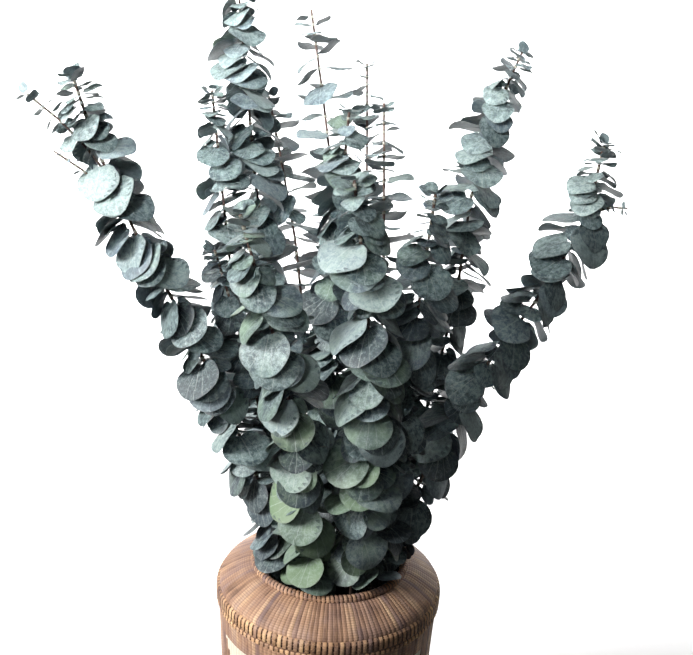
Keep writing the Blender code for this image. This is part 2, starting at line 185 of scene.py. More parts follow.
class Graph:
    """Nodes of one tree, added one call at a time."""

    def __init__(self, tree: bpy.types.NodeTree) -> None:
        """Hold the tree that nodes go into."""
        self.tree = tree

    def add(self, kind: str, settings: dict | None = None, inputs: dict | None = None) -> Value:
        """Add a node.

        Args:
            kind: The node's type.
            settings: The node's own settings, set before its sockets.
            inputs: Values or links of its sockets, by name or place.

        Returns:
            The node's first output that is in use.
        """
        node = self.tree.nodes.new(kind)
        for name, value in (settings or {}).items():
            setattr(node, name, value)
        for name, value in (inputs or {}).items():
            self.feed(node.inputs[name], value)
        return Value(self, next(socket for socket in node.outputs if socket.enabled))

    def feed(self, socket: bpy.types.NodeSocket, value: object) -> None:
        """Link or set a socket.

        Args:
            socket: The input socket.
            value: A Value to link, a list of them, or a plain setting.
        """
        if isinstance(value, Value):
            self.tree.links.new(value.socket, socket)
        elif isinstance(value, list):
            for part in value:
                self.tree.links.new(part.socket, socket)
        else:
            socket.default_value = value

    def vector(self, operation: str, *parts: object) -> Value:
        """Join vectors in a Vector Math node.

        Args:
            operation: The node's operation.
            parts: Its vectors.

        Returns:
            The node's result.
        """
        return self.add("ShaderNodeVectorMath", {"operation": operation}, dict(enumerate(parts)))

    def scaled(self, vector: Value, factor: "Value | float") -> Value:
        """A vector times a number."""
        inputs = {0: vector, "Scale": factor}
        return self.add("ShaderNodeVectorMath", {"operation": "SCALE"}, inputs)

    def combined(self, x: object = 0.0, y: object = 0.0, z: object = 0.0) -> Value:
        """A vector from three numbers."""
        return self.add("ShaderNodeCombineXYZ", None, {0: x, 1: y, 2: z})

    def parts(self, vector: Value) -> tuple[Value, Value, Value]:
        """The three numbers of a vector."""
        first = self.add("ShaderNodeSeparateXYZ", None, {0: vector})
        return first, first.out("Y"), first.out("Z")


class GeometryGraph(Graph):
    """A Geometry Nodes tree with named inputs."""

    def __init__(self, name: str, inputs: dict[str, tuple[str, object]]) -> None:
        """Start the tree.

        Args:
            name: The tree's name.
            inputs: Each input's socket type and its default, or None for none.
        """
        super().__init__(bpy.data.node_groups.new(name, "GeometryNodeTree"))
        face = self.tree.interface
        face.new_socket("Geometry", in_out="INPUT", socket_type="NodeSocketGeometry")
        for label, (kind, default) in inputs.items():
            socket = face.new_socket(label, in_out="INPUT", socket_type=kind)
            if default is not None:
                socket.default_value = default
        face.new_socket("Geometry", in_out="OUTPUT", socket_type="NodeSocketGeometry")
        self.entry = self.tree.nodes.new("NodeGroupInput")
        self.exit = self.tree.nodes.new("NodeGroupOutput")

    def given(self, name: str) -> Value:
        """One of the tree's inputs."""
        return Value(self, self.entry.outputs[name])

    def attribute(self, name: str, kind: str) -> Value:
        """A named attribute of the geometry."""
        return self.add("GeometryNodeInputNamedAttribute", {"data_type": kind}, {"Name": name})

    def store(self, geometry: Value, name: str, value: Value, domain: str) -> Value:
        """Keep a number on the geometry.

        Args:
            geometry: What the number is kept on.
            name: The attribute's name.
            value: The number.
            domain: The attribute's domain.

        Returns:
            The geometry with the attribute.
        """
        settings = {"data_type": "FLOAT", "domain": domain}
        inputs = {"Geometry": geometry, "Name": name, "Value": value}
        return self.add("GeometryNodeStoreNamedAttribute", settings, inputs)

    def finished(self, geometry: Value, finish: Value) -> Value:
        """Realize the instances and give them their finish."""
        real = self.add("GeometryNodeRealizeInstances", None, {"Geometry": geometry})
        return self.dressed(real, finish)

    def dressed(self, geometry: Value, finish: Value) -> Value:
        """Give a geometry its finish."""
        inputs = {"Geometry": geometry, "Material": finish}
        return self.add("GeometryNodeSetMaterial", None, inputs)

    def join(self, *geometries: Value) -> Value:
        """Several geometries as one."""
        return self.add("GeometryNodeJoinGeometry", None, {"Geometry": list(geometries)})

    def close(self, geometry: Value) -> None:
        """Make a geometry the tree's result."""
        self.tree.links.new(geometry.socket, self.exit.inputs[0])

    def grow(self, carrier: bpy.types.Object, values: dict[str, object]) -> bpy.types.Mesh:
        """Run the tree on an object and take its result as a plain mesh.

        Args:
            carrier: The object that holds the tree's points. It is removed.
            values: The tree's inputs by name.

        Returns:
            The plain mesh.
        """
        modifier = carrier.modifiers.new(self.tree.name, "NODES")
        modifier.node_group = self.tree
        for item in self.tree.interface.items_tree:
            if item.in_out == "INPUT" and item.name in values:
                modifier[item.identifier] = values[item.name]
        carrier.update_tag()
        bpy.context.view_layer.update()
        graph = bpy.context.evaluated_depsgraph_get()
        mesh = bpy.data.meshes.new_from_object(carrier.evaluated_get(graph))
        carrier.modifiers.remove(modifier)
        remove(carrier)
        return mesh


class ShaderGraph(Graph):
    """A material's nodes round its Principled shader."""

    def __init__(self, name: str) -> None:
        """Start a material of that name."""
        self.material = bpy.data.materials.new(name)
        self.material.use_nodes = True
        super().__init__(self.material.node_tree)
        self.shader = self.tree.nodes["Principled BSDF"]

    def attribute(self, name: str, output: str = "Fac") -> Value:
        """A named attribute of the surface."""
        return self.add("ShaderNodeAttribute", {"attribute_name": name}).out(output)

    def place(self) -> Value:
        """The surface's own place, in metres."""
        return self.add("ShaderNodeTexCoord").out("Object")

    def noise(self, place: Value, scale: float, detail: float = 3.0, rough: float = 0.55) -> Value:
        """Smooth noise.

        Args:
            place: Where it is read.
            scale: Its blobs to the metre.
            detail: Its finer layers.
            rough: How strong those are.

        Returns:
            A number round 0.5.
        """
        inputs = {"Vector": place, "Scale": scale, "Detail": detail, "Roughness": rough}
        return self.add("ShaderNodeTexNoise", {"noise_dimensions": "3D"}, inputs)

    def mix(self, factor: "Value | float", first: object, second: object) -> Value:
        """Blend two colours.

        Args:
            factor: How much of the second shows.
            first: A colour or a Value.
            second: A colour or a Value.

        Returns:
            The blend.
        """
        node = self.tree.nodes.new("ShaderNodeMix")
        node.data_type = "RGBA"
        for place, value in ((0, factor), (6, first), (7, second)):
            self.feed(node.inputs[place], paint(value) if isinstance(value, tuple) else value)
        return Value(self, node.outputs[2])

    def set(self, **values: object) -> None:
        """Set or link the shader's sockets, named with underscores for blanks."""
        for name, value in values.items():
            self.feed(self.shader.inputs[name.replace("_", " ")], value)

    def bump(self, height: Value, depth: float, strength: float = 1.0) -> None:
        """Give the shader relief from a height of 0 to 1.

        Args:
            height: The relief.
            depth: Its real depth in metres.
            strength: How much of it shows.
        """
        inputs = {"Height": height, "Distance": depth, "Strength": strength}
        self.set(Normal=self.add("ShaderNodeBump", None, inputs))


# Finishes


@dataclass(frozen=True)
class BladeFinish:
    """Waxy round leaves of slate green under a fine pale bloom; each leaf's tone is partly its own and
    partly painted light and shade, and the undersides are painted darker as painted shade.
    """

    dark: Colour = (36, 45, 52)
    deep: Colour = (60, 77, 82)
    slate: Colour = (104, 125, 125)
    pale: Colour = (144, 165, 161)
    blue: Colour = (132, 146, 164)
    fresh: Colour = (116, 141, 106)
    bloom: Colour = (184, 199, 197)
    vein: Colour = (196, 208, 204)
    # under: the undersides' colour, near black as painted shade.
    under: Colour = (46, 60, 68)
    rim: Colour = (92, 92, 92)
    pale_share: float = 0.75
    blue_share: float = 0.3
    dark_share: float = 0.8
    fresh_share: float = 0.8
    under_shade_share: float = 0.62
    rim_share: float = 0.25
    vein_share: float = 0.27
    midrib_share: float = 0.45
    relief: float = 0.0003
    veins_to_radian: float = 4.6
    patch_scale: float = 75.0
    mottle_scale: float = 300.0
    speckle_scale: float = 1000.0

    def make(self) -> bpy.types.Material:
        """The leaves' material."""
        s = ShaderGraph("eucalyptus_blade")
        u, v, side = s.parts(s.attribute("leaf_place", "Vector"))
        tone = s.attribute("leaf_tone")
        fresh = s.attribute("leaf_fresh")
        place = s.place()
        patch = s.noise(place, self.patch_scale, 4.0, 0.6)
        mottle = s.noise(place, self.mottle_scale, 3.0, 0.6)
        speckle = s.noise(place, self.speckle_scale, 2.0, 0.7)
        grain = s.noise(place, self.speckle_scale * 2.6, 2.0, 0.6)
        ground = s.mix((patch * 0.55 + mottle * 0.45).spread(0.36, 0.62), self.deep, self.slate)
        light = (tone + (patch - 0.5) * 0.4).spread(0.45, 1.0)
        ground = s.mix(light * self.pale_share, ground, self.pale)
        hue = (tone * 7.3).math("FRACT")
        ground = s.mix(hue.spread(0.5, 1.0) * self.blue_share, ground, self.blue)
        # Low tones go near black: partly each leaf's own tone, partly the painted shade that low and
        # shaded leaves carry in their tone.
        ground = s.mix((1.0 - tone.spread(0.0, 0.36)) * self.dark_share, ground, self.dark)
        green = (fresh + (patch - 0.5) * 0.9).spread(0.35, 1.05)
        ground = s.mix(green * self.fresh_share, ground, self.fresh)
        bloom = speckle * 0.5 + mottle * 0.5 + (tone - 0.5) * 0.14 - u * 0.03 + (grain - 0.5) * 0.22
        bloom = bloom.spread(0.40, 0.68)
        ground = s.mix(bloom * (0.46 + tone * 0.16 - 0.24 * green), ground, self.bloom)
        ground = s.mix(self.veins(s, u, v, place), ground, self.vein)
        # Painted shade: the undersides are painted much darker than the tops.
        above = (side + 0.1).spread(-0.25, 0.0)
        ground = s.mix(above, s.mix(self.under_shade_share, ground, self.under), ground)
        edge = (1.0 - side.size().spread(0.0, 0.30)) * u.above(0.02)
        ground = s.mix(edge * self.rim_share, ground, self.rim)
        s.set(Base_Color=ground, Roughness=0.52 + bloom * 0.2, Sheen_Weight=0.1)
        s.bump(grain * 0.5 + speckle * 0.4, self.relief, 0.5)
        return s.material

    def veins(self, s: ShaderGraph, u: Value, v: Value, place: Value) -> Value:
        """The midrib, and the faint side veins that fan out from the leaf's neck."""
        angle = v.math("ARCTAN2", u + 0.07)
        wander = s.noise(place, self.patch_scale * 2.5)
        fan = (angle * self.veins_to_radian + u * 0.35 + wander * 0.5).math("FRACT")
        line = 1.0 - (fan - 0.5).size().spread(0.0, 0.085)
        line = line * (1.0 - (v.size() + u * 0.2).spread(0.26, 0.50))
        midrib = 1.0 - v.size().spread(0.002, 0.014)
        midrib = midrib * (1.0 - u.spread(0.3, 0.85))
        return (line * self.vein_share).at_least(midrib * self.midrib_share)


@dataclass(frozen=True)
class BarkFinish:
    """Slim grey-brown stems, darker low down, with a pale bloom round the leaf nodes."""

    low: Colour = (60, 52, 48)
    high: Colour = (86, 68, 62)
    streak: Colour = (124, 102, 88)
    bloom: Colour = (182, 184, 168)
    grain_scale: float = 420.0
    relief: float = 0.0004

    def make(self) -> bpy.types.Material:
        """The stems' material."""
        s = ShaderGraph("eucalyptus_bark")
        node = s.attribute("stem_node")
        rise = s.attribute("stem_rise")
        place = s.place()
        long_grain = s.vector("MULTIPLY", place, (1.0, 1.0, 0.12))
        grain = s.noise(long_grain, self.grain_scale, 4.0, 0.6)
        fleck = s.noise(place, self.grain_scale * 2, 2.0)
        ground = s.mix(rise.spread(0.2, 0.9), self.low, self.high)
        ground = s.mix(grain.spread(0.42, 0.7) * 0.6, ground, self.streak)
        dust = (node + (fleck - 0.5) * 0.8).spread(0.35, 1.0)
        ground = s.mix(dust * 0.7, ground, self.bloom)
        s.set(Base_Color=ground, Roughness=0.55 + fleck * 0.2)
        s.bump(grain, self.relief, 0.6)
        return s.material


class Strand(Enum):
    """The kinds of split cane that the vase is woven from."""

    SPLINT = "splint"
    EDGE = "edge"
    LASHING = "lashing"


@dataclass(frozen=True)
class CaneFinish:
    """Stained split cane, each strand of its own tone, with long grain, lilac-grey patches and strips,
    and painted shade in the grooves.
    """

    kind: Strand
    dark: Colour
    middle: Colour
    light: Colour
    # groove: the colour of painted shade in the grooves between strands and between threads.
    groove: Colour = (62, 42, 36)
    groove_depth: float = 0.28
    lilac: Colour = (140, 118, 118)
    thread_pitch: float = 0.0028
    cream: Colour = (232, 223, 204)
    triangles: int = 5
    triangle_turn: float = math.radians(16)
    triangle_share: float = 0.694
    triangle_top: float = 0.178
    triangle_foot: float = 0.078
    cream_share: float = 0.92
    ribs: int = 144
    fibre_scale: float = 900.0
    blotch_scale: float = 55.0
    lilac_scale: float = 30.0
    relief: float = 0.0004

    def make(self) -> bpy.types.Material:
        """The cane's material."""
        s = ShaderGraph("cane_" + self.kind.value)
        place = s.place()
        x, y, z = s.parts(place)
        tone = s.attribute("strand_tone")
        across = s.attribute("strand_across")
        turn = s.attribute("strand_turn")
        fibre = s.noise(self.along_fibre(s, place, z), self.fibre_scale, 3.0, 0.65)
        blotch = s.noise(place, self.blotch_scale, 4.0, 0.6)
        shade = tone * 0.5 + (fibre - 0.5) * 0.75 + (blotch - 0.5) * 0.8 + 0.24
        ground = s.mix(shade.spread(0.05, 0.5), self.dark, self.middle)
        ground = s.mix(shade.spread(0.48, 0.95), ground, self.light)
        # Lilac-grey patches and strips, laid by noise and by each strand's turn.
        lilac_patches = s.noise(place, self.lilac_scale, 3.0, 0.6)
        strip = s.noise(s.combined(turn), 26.0, 2.0)
        lilac_patches = lilac_patches.spread(0.42, 0.68) * 0.45 + strip.spread(0.5, 0.64) * 0.4
        ground = s.mix(lilac_patches, ground, self.lilac)
        if self.kind is Strand.SPLINT:
            # Painted shade in the gaps between the fine threads.
            gap = 1.0 - self.thread(s, z, x, y)
            ground = s.mix(gap * (0.2 + tone * 0.25), ground, self.groove)
            ground = self.with_triangles(s, ground, turn, z)
        # Painted shade: each strand is darker towards its sides, in the grooves between strands.
        low = across.size().spread(0.62, 1.0)
        ground = s.mix(low * self.groove_depth, ground, self.groove)
        s.set(Base_Color=ground, Roughness=0.46 + fibre * 0.3)
        s.bump(fibre * 0.7 + self.thread(s, z, x, y) * 0.5, self.relief, 0.7)
        return s.material

    def along_fibre(self, s: ShaderGraph, place: Value, z: Value) -> Value:
        """Where the grain is read, drawn out along the strand."""
        if self.kind is Strand.SPLINT:
            x, y, _ = s.parts(place)
            turn = x.math("ARCTAN2", y * -1.0)
            return s.combined(turn * 0.085, z * 0.10, 0.0)
        return s.vector("MULTIPLY", place, (0.5, 0.5, 1.0))

    def thread(self, s: ShaderGraph, z: Value, x: Value, y: Value) -> Value:
        """Relief of the fine threads that cross the splints: 1 on a thread and 0 between."""
        radius = s.combined(x, y, 0.0)
        reach = s.add("ShaderNodeVectorMath", {"operation": "LENGTH"}, {0: radius}).out("Value")
        run = (z - reach) / self.thread_pitch
        return (run * math.pi).math("SINE").size().spread(0.0, 0.6)

    def with_triangles(self, s: ShaderGraph, ground: Value, turn: Value, z: Value) -> Value:
        """Lay in the ring of pale triangles, stepped from rib to rib."""
        rib = (turn * (self.ribs / FULL_TURN)).math("ROUND") * (FULL_TURN / self.ribs)
        beat = ((rib - self.triangle_turn) * (self.triangles / FULL_TURN) + 10.5).math("FRACT")
        offset = (beat - 0.5).size() * 2.0
        row = (z / self.thread_pitch).math("ROUND") * self.thread_pitch
        rise = (row - self.triangle_foot) / (self.triangle_top - self.triangle_foot)
        inside = (rise * self.triangle_share).above(offset)
        inside = inside * (1.0 - row.above(self.triangle_top))
        return s.mix(inside * self.cream_share, ground, self.cream)


@dataclass(frozen=True)
class LiningFinish:
    """The inner wall of the woven shell, painted near black as painted shade inside the vase."""

    dark: Colour = (20, 15, 13)
    worn: Colour = (52, 36, 28)

    def make(self) -> bpy.types.Material:
        """The lining's material."""
        s = ShaderGraph("shell_lining")
        place = s.place()
        weave = s.noise(s.vector("MULTIPLY", place, (1.0, 1.0, 3.0)), 130.0, 4.0, 0.6)
        # Painted shade: the inner wall is near black, with lighter brown weave streaks.
        s.set(Base_Color=s.mix(weave.spread(0.4, 0.75), self.dark, self.worn), Roughness=0.8)
        s.bump(weave, 0.0006, 0.6)
        return s.material


@dataclass(frozen=True)
class GlassFinish:
    """The plain glass of the liner, with a faint haze."""

    clear: Colour = (232, 240, 236)
    haze: Colour = (205, 216, 210)
    index: float = 1.46

    def make(self) -> bpy.types.Material:
        """The liner's material."""
        s = ShaderGraph("liner_clear")
        place = s.place()
        haze = s.noise(place, 60.0, 3.0)
        s.set(
            Base_Color=s.mix(haze.spread(0.45, 0.7), self.clear, self.haze),
            Roughness=0.04 + haze * 0.08,
            Transmission_Weight=0.92,
            IOR=self.index,
        )
        return s.material


@dataclass(frozen=True)
class FloorFinish:
    """The studio floor: grey, with a pale fan that widens towards the wall that it rises into."""

    pale: Colour = (246, 246, 246)
    speck: Colour = (240, 240, 240)
    grey: Colour = (84, 84, 84)
    fan_start: float = 0.84
    fan_spread: float = 0.42

    def make(self) -> bpy.types.Material:
        """The floor's material."""
        s = ShaderGraph("studio_floor")
        place = s.place()
        cloud = s.noise(place, 3.0)
        across, depth, _ = s.parts(place)
        ground = s.mix(cloud, self.pale, self.speck)
        fan = ((depth + self.fan_start) * self.fan_spread - across.size()).spread(-0.12, 0.0)
        pale = fan * depth.spread(0.02, 0.15)
        s.set(Base_Color=s.mix(pale, self.grey, ground), Roughness=0.9)
        return s.material


# Mesh helpers


def link(name: str, mesh: bpy.types.Mesh) -> bpy.types.Object:
    """An object of the scene from a mesh."""
    thing = bpy.data.objects.new(name, mesh)
    bpy.context.scene.collection.objects.link(thing)
    return thing


def remove(thing: bpy.types.Object) -> None:
    """Take a helper object out of the scene."""
    bpy.data.objects.remove(thing, do_unlink=True)


def share_of(value: float, low: float, high: float) -> float:
    """How far a value is on the way from low to high, from 0 to 1."""
    return min(1.0, max(0.0, (value - low) / (high - low)))


def mesh_of(name: str, points: list, faces: list, edges: list | None = None) -> bpy.types.Mesh:
    """A mesh from corners, faces and loose edges."""
    mesh = bpy.data.meshes.new(name)
    mesh.from_pydata([tuple(point) for point in points], edges or [], faces)
    mesh.update()
    return mesh


def sleeve(rows: int, ring: int) -> list[tuple[int, ...]]:
    """The faces between rows of corners that each close in a ring."""
    faces = []
    for row in range(rows - 1):
        for step in range(ring):
            a, b = row * ring + step, row * ring + (step + 1) % ring
            faces.append((a, b, b + ring, a + ring))
    return faces


def turned_in(faces: list[tuple[int, ...]], first: int = 0) -> list[tuple[int, ...]]:
    """Four-sided faces turned over, their corners counted from a first one."""
    return [(a + first, d + first, c + first, b + first) for a, b, c, d in faces]


def keep(mesh: bpy.types.Mesh, name: str, kind: str, values: list) -> None:
    """Keep a value at each point of a mesh.

    Args:
        mesh: The mesh.
        name: The attribute's name.
        kind: FLOAT, FLOAT_VECTOR, QUATERNION or BOOLEAN.
        values: One value for each point.
    """
    attribute = mesh.attributes.new(name, kind, "POINT")
    key = "vector" if kind == "FLOAT_VECTOR" else "value"
    flat = list(values)
    if kind in ("FLOAT_VECTOR", "QUATERNION"):
        flat = [part for value in values for part in value]
    attribute.data.foreach_set(key, flat)


def place_piece(name: str, mesh: bpy.types.Mesh, node: str) -> None:
    """Put a finished mesh in the scene in the place of a node.

    Args:
        name: The piece's name.
        mesh: Its mesh, with its finishes.
        node: The node that it stands for.
    """
    mesh.name = name
    mesh.shade_smooth()
    mesh.set_sharp_from_angle(angle=SMOOTH_ANGLE)
    piece = link(name, mesh)
    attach(piece, BODY)
    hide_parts(node)
    LOG.info("%s: %d faces, stands for %s", name, len(mesh.polygons), node)


def revolved(
    name: str, profile: list[Corner], sides: int, material: bpy.types.Material
) -> bpy.types.Mesh:
    """Turn a closed profile of radius and height round the Z axis.

    Args:
        name: The mesh's name.
        profile: Its corners, anticlockwise as seen with the radius to the right.
        sides: How many steps the turn has.
        material: The mesh's finish.

    Returns:
        A closed mesh with its faces outwards.
    """
    bm = bmesh.new()
    rings = []
    for radius, height in profile:
        if radius == 0.0:
            rings.append([bm.verts.new((0.0, 0.0, height))] * sides)
            continue
        turns = [FULL_TURN * i / sides for i in range(sides)]
        spots = [(radius * math.cos(t), radius * math.sin(t), height) for t in turns]
        rings.append([bm.verts.new(spot) for spot in spots])
    for low, high in zip(rings, rings[1:] + rings[:1]):
        for i in range(sides):
            j = (i + 1) % sides
            corners = list(dict.fromkeys((low[i], low[j], high[j], high[i])))
            if len(corners) > 2:
                bm.faces.new(corners)
    bmesh.ops.recalc_face_normals(bm, faces=bm.faces)
    mesh = bpy.data.meshes.new(name)
    bm.to_mesh(mesh)
    bm.free()
    mesh.materials.append(material)
    return mesh


def rounded(corners: list[Corner], passes: int) -> list[Corner]:
    """Round a line's corners by cutting each one, its ends kept.

    Args:
        corners: The line.
        passes: How often the corners are cut.

    Returns:
        The rounded line.
    """
    for _ in range(passes):
        line = [corners[0]]
        for (ax, ay), (bx, by) in zip(corners, corners[1:]):
            line.append((ax * 0.75 + bx * 0.25, ay * 0.75 + by * 0.25))
            line.append((ax * 0.25 + bx * 0.75, ay * 0.25 + by * 0.75))
        line.append(corners[-1])
        corners = line
    return corners


# Geometry trees


def ring_tree() -> GeometryGraph:
    """Copies of one piece set in a ring, joined to the carrier's own mesh."""
    g = GeometryGraph(
        "ring_of_strands",
        {
            "Piece": ("NodeSocketObject", None),
            "Count": ("NodeSocketInt", 12),
            "First Turn": ("NodeSocketFloat", 0.0),
            "Finish": ("NodeSocketMaterial", None),
            "Seed": ("NodeSocketInt", 1),
        },
    )
    points = g.add("GeometryNodePoints", None, {"Count": g.given("Count")})
    index = g.add("GeometryNodeInputIndex")
    turn = index * FULL_TURN / g.given("Count") + g.given("First Turn")
    info = g.add("GeometryNodeObjectInfo", None, {"Object": g.given("Piece")})
    rotation = g.add("FunctionNodeEulerToRotation", None, {0: g.combined(0.0, 0.0, turn)})
    inputs = {"Points": points, "Instance": info.out("Geometry"), "Rotation": rotation}
    ring = g.add("GeometryNodeInstanceOnPoints", None, inputs)
    inputs = {"ID": index, "Seed": g.given("Seed")}
    tone = g.add("FunctionNodeRandomValue", {"data_type": "FLOAT"}, inputs)
    ring = g.store(ring, "strand_tone", tone, "INSTANCE")
    ring = g.store(ring, "strand_turn", turn, "INSTANCE")
    g.close(g.join(g.given("Geometry"), g.finished(ring, g.given("Finish"))))
    return g


def hoop_tree() -> GeometryGraph:
    """Hoops of cane that sway in and out as they pass the splints, one for each point."""
    g = GeometryGraph(
        "swaying_hoops",
        {
            "Steps": ("NodeSocketInt", 448),
            "Waves": ("NodeSocketFloat", 56.0),
            "Sway": ("NodeSocketFloat", 0.0005),
            "Thickness": ("NodeSocketFloat", 0.0016),
            "Width": ("NodeSocketFloat", 0.0026),
            "Section": ("NodeSocketInt", 6),
            "Finish": ("NodeSocketMaterial", None),
        },
    )
    circle = g.add(
        "GeometryNodeCurvePrimitiveCircle", {"mode": "RADIUS"}, {"Resolution": g.given("Steps")}
    )
    inputs = {"Points": g.given("Geometry"), "Instance": circle}
    hoops = g.add("GeometryNodeInstanceOnPoints", None, inputs)
    hoops = g.add("GeometryNodeRealizeInstances", None, {"Geometry": hoops})
    x, y, _ = g.parts(g.add("GeometryNodeInputPosition"))
    turn = y.math("ARCTAN2", x)
    phase = g.attribute("strand_phase", "FLOAT")
    sway = (turn * g.given("Waves") + phase * FULL_TURN).math("SINE") * g.given("Sway")
    radius = g.attribute("hoop_radius", "FLOAT") + sway
    place = g.combined(x * radius, y * radius, g.attribute("hoop_height", "FLOAT"))
    hoops = g.store(hoops, "strand_turn", turn, "POINT")
    hoops = g.add("GeometryNodeSetPosition", None, {"Geometry": hoops, "Position": place})
    hoops = g.add("GeometryNodeSetCurveNormal", {"mode": "Z_UP"}, {"Curve": hoops})
    section = g.add(
        "GeometryNodeCurvePrimitiveCircle", {"mode": "RADIUS"}, {"Resolution": g.given("Section")}
    )
    size = g.combined(g.given("Thickness") / 2.0, g.given("Width") / 2.0, 1.0)
    section = g.add("GeometryNodeTransform", None, {"Geometry": section, "Scale": size})
    body = g.add("GeometryNodeCurveToMesh", None, {"Curve": hoops, "Profile Curve": section})
    g.close(g.finished(body, g.given("Finish")))
    return g


def branch_tree() -> GeometryGraph:
    """A stem from its line, and a leaf from each of its leaf points."""
    g = GeometryGraph(
        "leafy_stem",
        {
            "Blade": ("NodeSocketObject", None),
            "Blade Finish": ("NodeSocketMaterial", None),
            "Bark Finish": ("NodeSocketMaterial", None),
            "Edge Wave": ("NodeSocketFloat", 0.0013),
            "Edge Curl": ("NodeSocketFloat", 0.05),
            "Stem Sides": ("NodeSocketInt", 8),
        },
    )
    inputs = {"Geometry": g.given("Geometry"), "Selection": g.attribute("is_leaf", "BOOLEAN")}
    leaf_points = g.add("GeometryNodeSeparateGeometry", {"domain": "POINT"}, inputs)
    stem_lines = leaf_points.out("Inverted")
    info = g.add("GeometryNodeObjectInfo", None, {"Object": g.given("Blade")})
    inputs = {"Points": leaf_points, "Instance": info.out("Geometry")}
    leaves = g.add("GeometryNodeInstanceOnPoints", None, inputs)
    leaves = g.add("GeometryNodeRealizeInstances", None, {"Geometry": leaves})
    u, v, _ = g.parts(g.attribute("leaf_place", "FLOAT_VECTOR"))
    length, width, neck = g.parts(g.attribute("leaf_size", "FLOAT_VECTOR"))
    fold, droop, phase = g.parts(g.attribute("leaf_bend", "FLOAT_VECTOR"))
    out = neck + u.at_most(0.0) * (neck + LeafShape.root_depth) + u.at_least(0.0) * length
    across = v * width
    bow = (across * across + (width * 0.06) ** 2.0) ** 0.5 - width * 0.06
    middle = u - 0.5
    reach = ((middle * middle + v * v) * 4.0).at_most(1.3) * u.spread(0.0, 0.12)
    ripple = (v.math("ARCTAN2", middle) * 3.0 + phase).math("SINE") * g.given("Edge Wave")
    curl = reach * reach * length * g.given("Edge Curl")
    rise = fold * bow - droop * out * out / length + reach * ripple * (length / 0.036) - curl
    shape = g.combined(out, across, rise)
    thin = (length / 0.030).at_most(1.0).at_least(0.3)
    shape = g.vector("ADD", shape, g.scaled(g.attribute("leaf_skin", "FLOAT_VECTOR"), thin))
    inputs = {0: shape, 1: g.attribute("leaf_turn", "QUATERNION")}
    turned = g.add("FunctionNodeRotateVector", None, inputs)
    spot = g.vector("ADD", turned, g.attribute("leaf_root", "FLOAT_VECTOR"))
    leaves = g.add("GeometryNodeSetPosition", None, {"Geometry": leaves, "Position": spot})
    curve = g.add("GeometryNodeMeshToCurve", None, {"Mesh": stem_lines})
    section = g.add(
        "GeometryNodeCurvePrimitiveCircle", {"mode": "RADIUS"}, {"Resolution": g.given("Stem Sides")}
    )
    inputs = {"Curve": curve, "Profile Curve": section, "Fill Caps": True}
    inputs["Scale"] = g.attribute("stem_radius", "FLOAT")
    stems = g.add("GeometryNodeCurveToMesh", None, inputs)
    stems = g.finished(stems, g.given("Bark Finish"))
    g.close(g.join(g.dressed(leaves, g.given("Blade Finish")), stems))
    return g


# Vase


